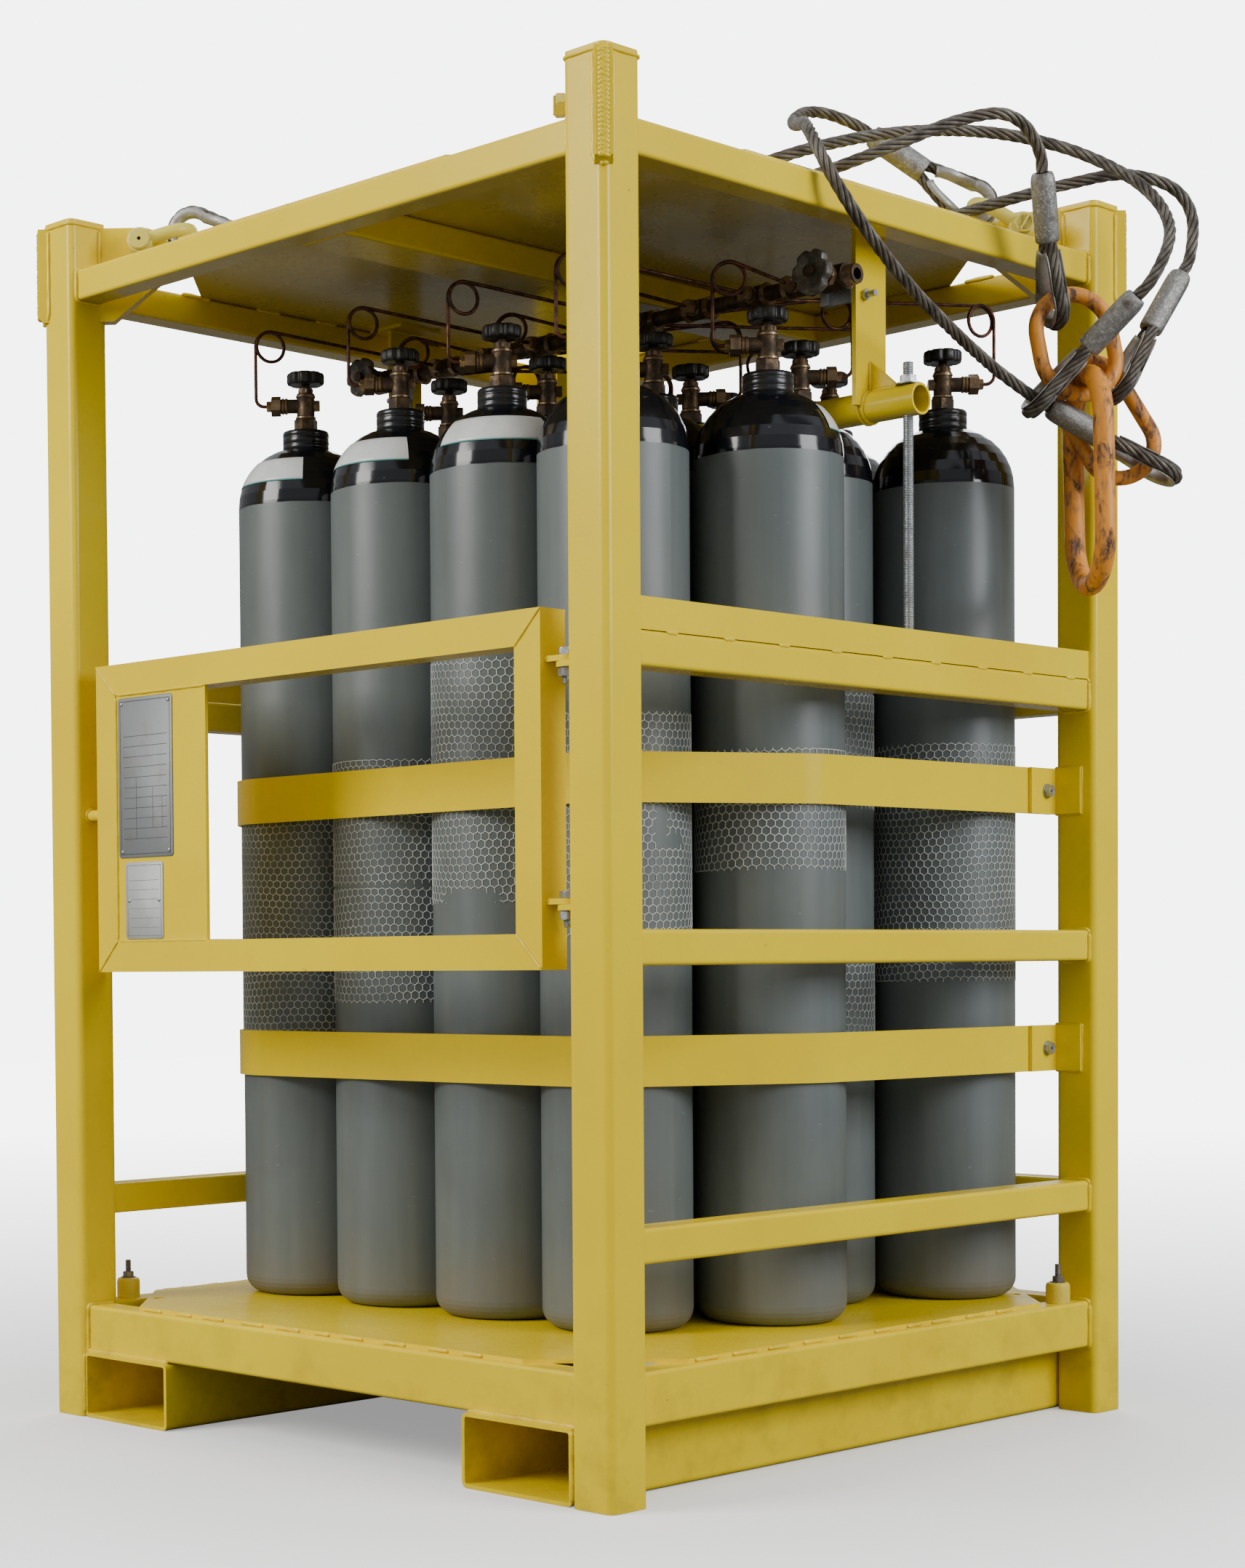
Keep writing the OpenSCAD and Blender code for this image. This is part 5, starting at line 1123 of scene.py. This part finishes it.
# each eye: its middle, the way to its ferrule and the way through it; four at the posts, then four
# at the links, in the order right, near, left, far
eyes = [((0.4552, 0.4552, 1.9764), (-58, -58, 58), (71, -71, 0)),
        ((0.4577, -0.4428, 1.9496), (-25, 95, -18), (-71, -71, 0)),
        ((-0.4486, -0.4491, 1.9548), (80, 56, -20), (-71, 71, 0)),
        ((-0.4455, 0.4547, 1.9549), (85, -35, -20), (71, 71, 0)),
        ((0.7628, 0.5076, 1.5118), (-49, -73.4, 46.2), (33, 34, 88)),
        ((0.6608, 0.3478, 1.6212), (73, 16, 66), (42, 63, -65)),
        ((0.667, 0.365, 1.765), (17, -40, 90), (56, 80, 22)),
        ((0.7223, 0.4702, 1.6494), (27, 44, 86), (-25, -45, 86))]
leg_middles = [
    ("right", [(0.301, 0.277, 2.122), (0.298, 0.226, 2.116), (0.323, 0.162, 2.088), (0.369, 0.099, 2.057),
               (0.425, 0.038, 2.030), (0.482, -0.025, 2.008), (0.537, -0.088, 1.983),
               (0.588, -0.138, 1.948), (0.622, -0.157, 1.906), (0.644, -0.149, 1.861),
               (0.657, -0.110, 1.811), (0.659, -0.045, 1.765), (0.653, 0.032, 1.729),
               (0.644, 0.114, 1.701), (0.636, 0.196, 1.675), (0.631, 0.276, 1.651)]),
    ("near", [(0.396, -0.181, 1.911), (0.416, -0.125, 1.926), (0.442, -0.066, 1.949),
              (0.468, -0.006, 1.973), (0.493, 0.055, 1.993), (0.516, 0.120, 2.011), (0.538, 0.188, 2.025),
              (0.562, 0.257, 2.034), (0.592, 0.323, 2.036), (0.628, 0.379, 2.028), (0.672, 0.419, 2.009),
              (0.720, 0.443, 1.980), (0.770, 0.450, 1.942), (0.814, 0.439, 1.896), (0.841, 0.417, 1.849),
              (0.842, 0.397, 1.808)]),
    ("left", [(-0.209, -0.288, 1.904), (-0.146, -0.256, 1.904), (-0.082, -0.225, 1.904),
              (-0.017, -0.196, 1.903), (0.049, -0.170, 1.903), (0.116, -0.146, 1.903),
              (0.183, -0.123, 1.904), (0.251, -0.101, 1.903), (0.321, -0.078, 1.905),
              (0.395, -0.053, 1.911), (0.468, -0.021, 1.924), (0.538, 0.022, 1.946), (0.599, 0.076, 1.975),
              (0.652, 0.138, 2.006), (0.690, 0.199, 2.019), (0.703, 0.238, 2.005)]),
    ("far", [(-0.172, 0.342, 1.903), (-0.096, 0.323, 1.904), (-0.019, 0.309, 1.904), (0.059, 0.300, 1.904),
             (0.139, 0.294, 1.904), (0.221, 0.293, 1.904), (0.312, 0.296, 1.906), (0.406, 0.307, 1.912),
             (0.501, 0.326, 1.924), (0.586, 0.361, 1.940), (0.662, 0.414, 1.959), (0.724, 0.481, 1.973),
             (0.771, 0.549, 1.952), (0.786, 0.572, 1.913)])]


def eye_axes(eye):
    """The middle of an eye, the way to its ferrule, the way across it and the way through it."""
    a = Vector(eye[1]).normalized()
    flat = Vector(eye[2])
    c = (flat - a*flat.dot(a)).normalized()
    return Vector(eye[0]), a, c.cross(a), c


def out_of(eye, extra):
    """A point on the rope's middle line, this far beyond an eye's ferrule."""
    centre, a, _, _ = eye_axes(eye)
    return centre + a*(eye_throat + ferrule_length + extra)


legs = []
for number, (name, middles) in enumerate(leg_middles):
    start, end = eyes[number], eyes[number + 4]
    route = [out_of(start, 0.0), out_of(start, 0.025)] + middles + [out_of(end, 0.025), out_of(end, 0.0)]
    line = smooth_route(route, 0.0042)
    strands = ([], [])
    rope_strands(strands, line, phase=number*0.7)
    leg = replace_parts(piece("rope_leg_" + name, *strands, rope_wire, "rack", "wire_rope"),
                      "sling_leg_" + name)
    legs.append((leg, line))

# The rope eyes: at each end of a leg the wire rope runs out of its ferrule, round the thimble and
# back in, opened at the throat. The same greasy strands as the legs, bent tighter.
eye_strands = ([], [])
for number, eye in enumerate(eyes):
    centre, a, b, _ = eye_axes(eye)
    strand_off = rope_radius + 0.0003
    far = math.hypot(eye_throat, strand_off)
    leave = math.acos(eye_radius/far) + math.atan2(strand_off, eye_throat)
    loop = [(eye_throat + 0.004, strand_off)]
    loop += [(eye_radius*math.cos(leave + (math.tau - 2*leave)*k/36),
              eye_radius*math.sin(leave + (math.tau - 2*leave)*k/36)) for k in range(37)]
    loop.append((eye_throat + 0.004, -strand_off))
    rope_strands(eye_strands, resampled([centre + u*a + v*b for u, v in loop], 0.0052), phase=number*1.1)
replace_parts(piece("rope_eyes", *eye_strands, rope_wire, "rack", "wire_rope"), "sling_eyes")

# The thimbles: galvanised steel channels bent to a heart, open at their points, that keep the ropes
# from being crushed. Their flanges stand up on both sides of the rope, rubbed and a little rusty.
thimble_steel = finish_with("thimble_steel", rope_tone,
                            {"Wire": (0.42, 0.42, 0.40, 1), "Grease": (0.13, 0.115, 0.10, 1),
                             "Rust": (0.16, 0.085, 0.045, 1), "Dirt": 0.34, "Rub": 0.7}, bump=0.0004)
thimbles = ([], [])
thimble_bend, opened = 0.0226, math.radians(52)
thimble_lips = [(0.0755, 0.0032)] + [(0.070 - 0.018*k/3, 0.0068 + 0.0056*k/3) for k in range(3)]
channel = [(0.0, -0.0045), (0.0022, -0.0094), (0.0138, -0.0124), (0.0146, -0.0110), (0.0036, -0.0080),
           (0.0020, -0.0035)]
channel += [(off, -through) for off, through in reversed(channel)]
for eye in eyes:
    centre, a, b, c = eye_axes(eye)
    sweep = [(opened + (math.tau - 2*opened)*k/40) for k in range(41)]
    line = thimble_lips + [(thimble_bend*math.cos(t), thimble_bend*math.sin(t)) for t in sweep]
    line += [(u, -v) for u, v in reversed(thimble_lips)]
    points, faces = thimbles
    first = len(points)
    for index, (u, v) in enumerate(line):
        before, after = line[max(index - 1, 0)], line[min(index + 1, len(line) - 1)]
        way = Vector((after[0] - before[0], after[1] - before[1], 0)).normalized()
        out_u, out_v = way.y, -way.x
        for off, through in channel:
            points.append(centre + (u + out_u*off)*a + (v + out_v*off)*b + through*c)
    count = len(channel)
    for ring in range(len(line) - 1):
        for side in range(count):
            p, q = first + ring*count + side, first + ring*count + (side + 1) % count
            faces.append((p, q, q + count, p + count))
    faces.append(tuple(first + s for s in reversed(range(count))))
    faces.append(tuple(first + (len(line) - 1)*count + s for s in range(count)))
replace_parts(piece("thimbles_bent", *thimbles, thimble_steel, "rack", "thimble_steel"), "thimbles")

# The ferrules: aluminium alloy sleeves pressed over rope and tail at each eye, oval where the press
# closed, with rounded ends. Use has scuffed and dented them.
ferrule_wear, given, shown = effect(
    "ferrule_wear", {"Alloy": (0.6, 0.6, 0.6, 1), "Dull": (0.3, 0.3, 0.29, 1),
                     "Soil": (0.1, 0.09, 0.08, 1), "Scuffs": 0.5, "Rough": 0.36},
    {"Colour": "Color", "Roughness": "Float", "Metal": "Float", "Height": "Float"})
spot = put(ferrule_wear, "TexCoord", {}).outputs["Object"]
scored = put(ferrule_wear, "TexNoise", {"Vector": spot, "Scale": 160.0, "Detail": 7.0, "Roughness": 0.7,
                                        "Distortion": 1.4}).outputs["Fac"]
dents = put(ferrule_wear, "TexNoise", {"Vector": spot, "Scale": 46.0, "Detail": 2.0}).outputs["Fac"]
soil = put(ferrule_wear, "TexNoise", {"Vector": spot, "Scale": 28.0, "Detail": 5.0}).outputs["Fac"]
scuffed = reckoned(ferrule_wear, "MULTIPLY", graded(ferrule_wear, scored, 0.50, 0.62), given["Scuffs"])
skin = blended(ferrule_wear, scuffed, given["Dull"], given["Alloy"])
skin = blended(ferrule_wear, graded(ferrule_wear, soil, 0.56, 0.74), skin, given["Soil"])
for socket, output in (("Colour", skin),
                       ("Roughness", reckoned(ferrule_wear, "MULTIPLY_ADD", soil, 0.3, given["Rough"])),
                       ("Metal", graded(ferrule_wear, soil, 0.5, 0.75, 0.92, 0.3)),
                       ("Height", reckoned(ferrule_wear, "ADD", dents, scored))):
    ferrule_wear.links.new(output, shown[socket])
ferrule_alloy = finish_with("ferrule_alloy", ferrule_wear,
                            {"Alloy": (0.56, 0.56, 0.54, 1), "Dull": (0.26, 0.255, 0.24, 1),
                             "Soil": (0.10, 0.080, 0.062, 1), "Scuffs": 0.7, "Rough": 0.3}, bump=0.0014)
ferrules = []
ferrule_profile = [(0.0105, 0), (0.0172, 0), (0.0190, 0.0012), (0.0198, 0.004), (0.0200, 0.010),
                   (0.0200, ferrule_length*0.5), (0.0200, ferrule_length - 0.020),
                   (0.0196, ferrule_length - 0.012), (0.0180, ferrule_length - 0.004),
                   (0.0160, ferrule_length - 0.0008), (0.0105, ferrule_length)]


def pressed(angle, radius, height):
    """How far the press has pushed a ferrule's wall in, by its angle."""
    return 1.0 - 0.055*abs(math.sin(angle))**2 - 0.012*math.cos(6*angle)


for number, eye in enumerate(eyes):
    centre, a, b, c = eye_axes(eye)
    sleeve = ([], [])
    turned(sleeve, ferrule_profile, 40, centre + a*eye_throat, (b, c, a), swell=pressed)
    ferrules.append(piece("ferrule_%d" % (number + 1), *sleeve, ferrule_alloy, "rack", "ferrule_alloy"))
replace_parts(ferrules[0], "ferrules")

# The links: three forged steel ovals in worn orange enamel, one for the crane hook and two that each
# gather a pair of legs. The steel shows dark where hook and eyes have rubbed.
link_wear, given, shown = effect(
    "link_wear", {"Enamel": (0.6, 0.2, 0.02, 1), "Rubbed": (0.3, 0.12, 0.05, 1),
                  "Iron": (0.05, 0.04, 0.04, 1), "Wear": 0.5, "Gloss": 0.4},
    {"Colour": "Color", "Roughness": "Float", "Height": "Float"})
spot = put(link_wear, "TexCoord", {}).outputs["Object"]
drawn_out = put(link_wear, "Mapping", {"Vector": spot, "Scale": (1.0, 1.0, 0.36)}).outputs["Vector"]
rubs = put(link_wear, "TexNoise", {"Vector": drawn_out, "Scale": 62.0, "Detail": 8.0, "Roughness": 0.66,
                                   "Distortion": 0.5}).outputs["Fac"]
scars = put(link_wear, "TexNoise",
            {"Vector": drawn_out, "Scale": 150.0, "Detail": 5.0, "Roughness": 0.7}).outputs["Fac"]
broad = put(link_wear, "TexNoise", {"Vector": spot, "Scale": 17.0, "Detail": 2.0}).outputs["Fac"]
rubbed = reckoned(link_wear, "ADD", rubs, reckoned(link_wear, "MULTIPLY_ADD", broad, 0.5, given["Wear"]))
coat = blended(link_wear, graded(link_wear, rubbed, 1.17, 1.34), given["Enamel"], given["Rubbed"])
bitten = reckoned(link_wear, "MULTIPLY", graded(link_wear, rubbed, 1.24, 1.38),
                  graded(link_wear, scars, 0.44, 0.54))
pitted = reckoned(link_wear, "SUBTRACT", reckoned(link_wear, "MULTIPLY", rubs, 0.5), bitten)
for socket, output in (("Colour", blended(link_wear, bitten, coat, given["Iron"])),
                       ("Roughness", reckoned(link_wear, "MULTIPLY_ADD", scars, 0.25, given["Gloss"])),
                       ("Height", pitted)):
    link_wear.links.new(output, shown[socket])
orange_enamel = finish_with("orange_enamel", link_wear,
                            {"Enamel": (0.80, 0.30, 0.025, 1), "Rubbed": (0.36, 0.150, 0.045, 1),
                             "Iron": (0.048, 0.034, 0.028, 1), "Wear": 0.46, "Gloss": 0.34}, bump=0.0012)


def forged_oval(store, place):
    """One closed oval link of round bar: its place holds its middle, the way along it, the way through
    it, its half width and half length along the bar's middle line, and the bar's radius."""
    centre, along, normal, half_wide, half_long, bar = place
    _, a, b, _ = eye_axes((centre, along, normal))
    run, path = half_long - half_wide, []
    for k in range(25):
        angle = -math.pi/2 + math.pi*k/24
        path.append((run + half_wide*math.cos(angle), half_wide*math.sin(angle)))
    for k in range(1, 8):
        path.append((run - 2*run*k/8, half_wide))
    for k in range(25):
        angle = math.pi/2 + math.pi*k/24
        path.append((-run + half_wide*math.cos(angle), half_wide*math.sin(angle)))
    for k in range(1, 8):
        path.append((-run + 2*run*k/8, -half_wide))
    points, faces = store
    first, sides, count = len(points), 20, len(path)
    for index, (u, v) in enumerate(path):
        before, after = path[index - 1], path[(index + 1) % count]
        way = Vector((after[0] - before[0], after[1] - before[1], 0)).normalized()
        outward = way.y*a - way.x*b
        through = a.cross(b)
        middle = Vector(centre) + u*a + v*b
        for side in range(sides):
            angle = math.tau*side/sides
            points.append(middle + bar*(math.cos(angle)*outward + math.sin(angle)*through))
    for ring in range(count):
        after = (ring + 1) % count
        for side in range(sides):
            p, q = first + ring*sides + side, first + ring*sides + (side + 1) % sides
            r, s = first + after*sides + (side + 1) % sides, first + after*sides + side
            faces.append((p, q, r, s))


master, hooks = ([], []), ([], [])
forged_oval(master, ((0.7069, 0.4036, 1.4889), (1, -5, 100), (65, 76, 3), 0.080, 0.162, 0.016))
forged_oval(hooks, ((0.694, 0.388, 1.700), (-19, -3, 98), (81, -57, 14), 0.061, 0.081, 0.012))
forged_oval(hooks, ((0.702, 0.457, 1.590), (-40, -30, 86), (61, -79, 1), 0.051, 0.098, 0.012))
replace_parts(piece("master_oval", *master, orange_enamel, "rack", "link_paint"), "master_link")
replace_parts(piece("sub_ovals", *hooks, orange_enamel, "rack", "link_paint"), "sling_links")
for number, (leg, line) in enumerate(legs):
    [tuple(p) for p in resampled(line, 0.03)]

# The studio: a plain pale floor, a large soft sky, and three wide soft lamps. The camera stands low
# beside the corner between the gate side and the right side, as in the photograph.
floor_mesh = bpy.data.meshes.new("studio_floor")
floor_mesh.from_pydata([(-14, -14, -0.0006), (14, -14, -0.0006), (14, 14, -0.0006), (-14, 14, -0.0006)],
                       [], [(0, 1, 2, 3)])
studio_floor = bpy.data.objects.new("studio_floor", floor_mesh)
bpy.context.scene.collection.objects.link(studio_floor)
pale_floor = bpy.data.materials.new("pale_floor")
pale_floor.use_nodes = True
tree = pale_floor.node_tree
shader = tree.nodes["Principled BSDF"]
shader.inputs["Roughness"].default_value = 0.75
shader.inputs["Emission Color"].default_value = (0.97, 0.98, 1.0, 1)
seen = put(tree, "LightPath", {}).outputs["Is Camera Ray"]
floor_tone = blended(tree, seen, (0.17, 0.17, 0.168, 1), (0.94, 0.94, 0.93, 1))
tree.links.new(floor_tone, shader.inputs["Base Color"])
outward = put(tree, "VectorMath", {0: put(tree, "TexCoord", {}).outputs["Object"]}, operation="LENGTH")
fade = graded(tree, outward.outputs["Value"], 1.0, 8.0, 0.35, 5.5)
tree.links.new(reckoned(tree, "MULTIPLY", seen, fade), shader.inputs["Emission Strength"])
floor_mesh.materials.append(pale_floor)

sky = bpy.data.worlds.new("soft_sky")
bpy.context.scene.world = sky
sky.use_nodes = True
tree = sky.node_tree
backdrop = tree.nodes["Background"]
backdrop.inputs["Color"].default_value = (0.95, 0.97, 1.0, 1)
seen = put(tree, "LightPath", {}).outputs["Is Camera Ray"]
overhead = put(tree, "SeparateXYZ", {0: put(tree, "TexCoord", {}).outputs["Generated"]}).outputs["Z"]
cloud_light = graded(tree, overhead, -0.1, 0.9, 0.18, 0.95)
tree.links.new(graded(tree, seen, 0.0, 1.0, cloud_light, 6.0), backdrop.inputs["Strength"])


def soft_lamp(name, place, aim, size, watts, tint):
    """A wide square lamp at a place, aimed at a point."""
    data = bpy.data.lights.new(name, "AREA")
    data.shape, data.size, data.energy, data.color = "SQUARE", size, watts, tint
    lamp = bpy.data.objects.new(name, data)
    lamp.location = place
    lamp.rotation_euler = (Vector(aim) - Vector(place)).to_track_quat("-Z", "Y").to_euler()
    bpy.context.scene.collection.objects.link(lamp)


soft_lamp("lamp_gate_side", (-1.8, -5.2, 3.6), (0, 0, 0.9), 2.6, 300, (1.0, 0.98, 0.95))
soft_lamp("lamp_right_side", (5.4, 1.2, 3.0), (0, 0, 0.9), 2.6, 230, (0.97, 0.98, 1.0))
soft_lamp("lamp_behind", (-3.5, 5.0, 4.0), (0, 0, 1.2), 3.0, 150, (0.98, 0.99, 1.0))

camera_data = bpy.data.cameras.new("camera")
camera_data.sensor_fit, camera_data.sensor_width, camera_data.lens = "AUTO", 36.0, 63.82
camera_data.shift_x, camera_data.shift_y = 0.157, 0.1653
camera_data.clip_end = 60
camera = bpy.data.objects.new("camera", camera_data)
bpy.context.scene.collection.objects.link(camera)
bpy.context.scene.camera = camera
turn, tilt, roll = math.radians(46.98), math.radians(1.70), math.radians(0.496)
camera.location = (3.1321, -3.3911, 0.7499)
away = Vector((-math.sin(turn)*math.cos(tilt), math.cos(turn)*math.cos(tilt), -math.sin(tilt)))
rolled = Matrix.Rotation(-roll, 4, "Z").to_quaternion()
camera.rotation_euler = (away.to_track_quat("-Z", "Y") @ rolled).to_euler()
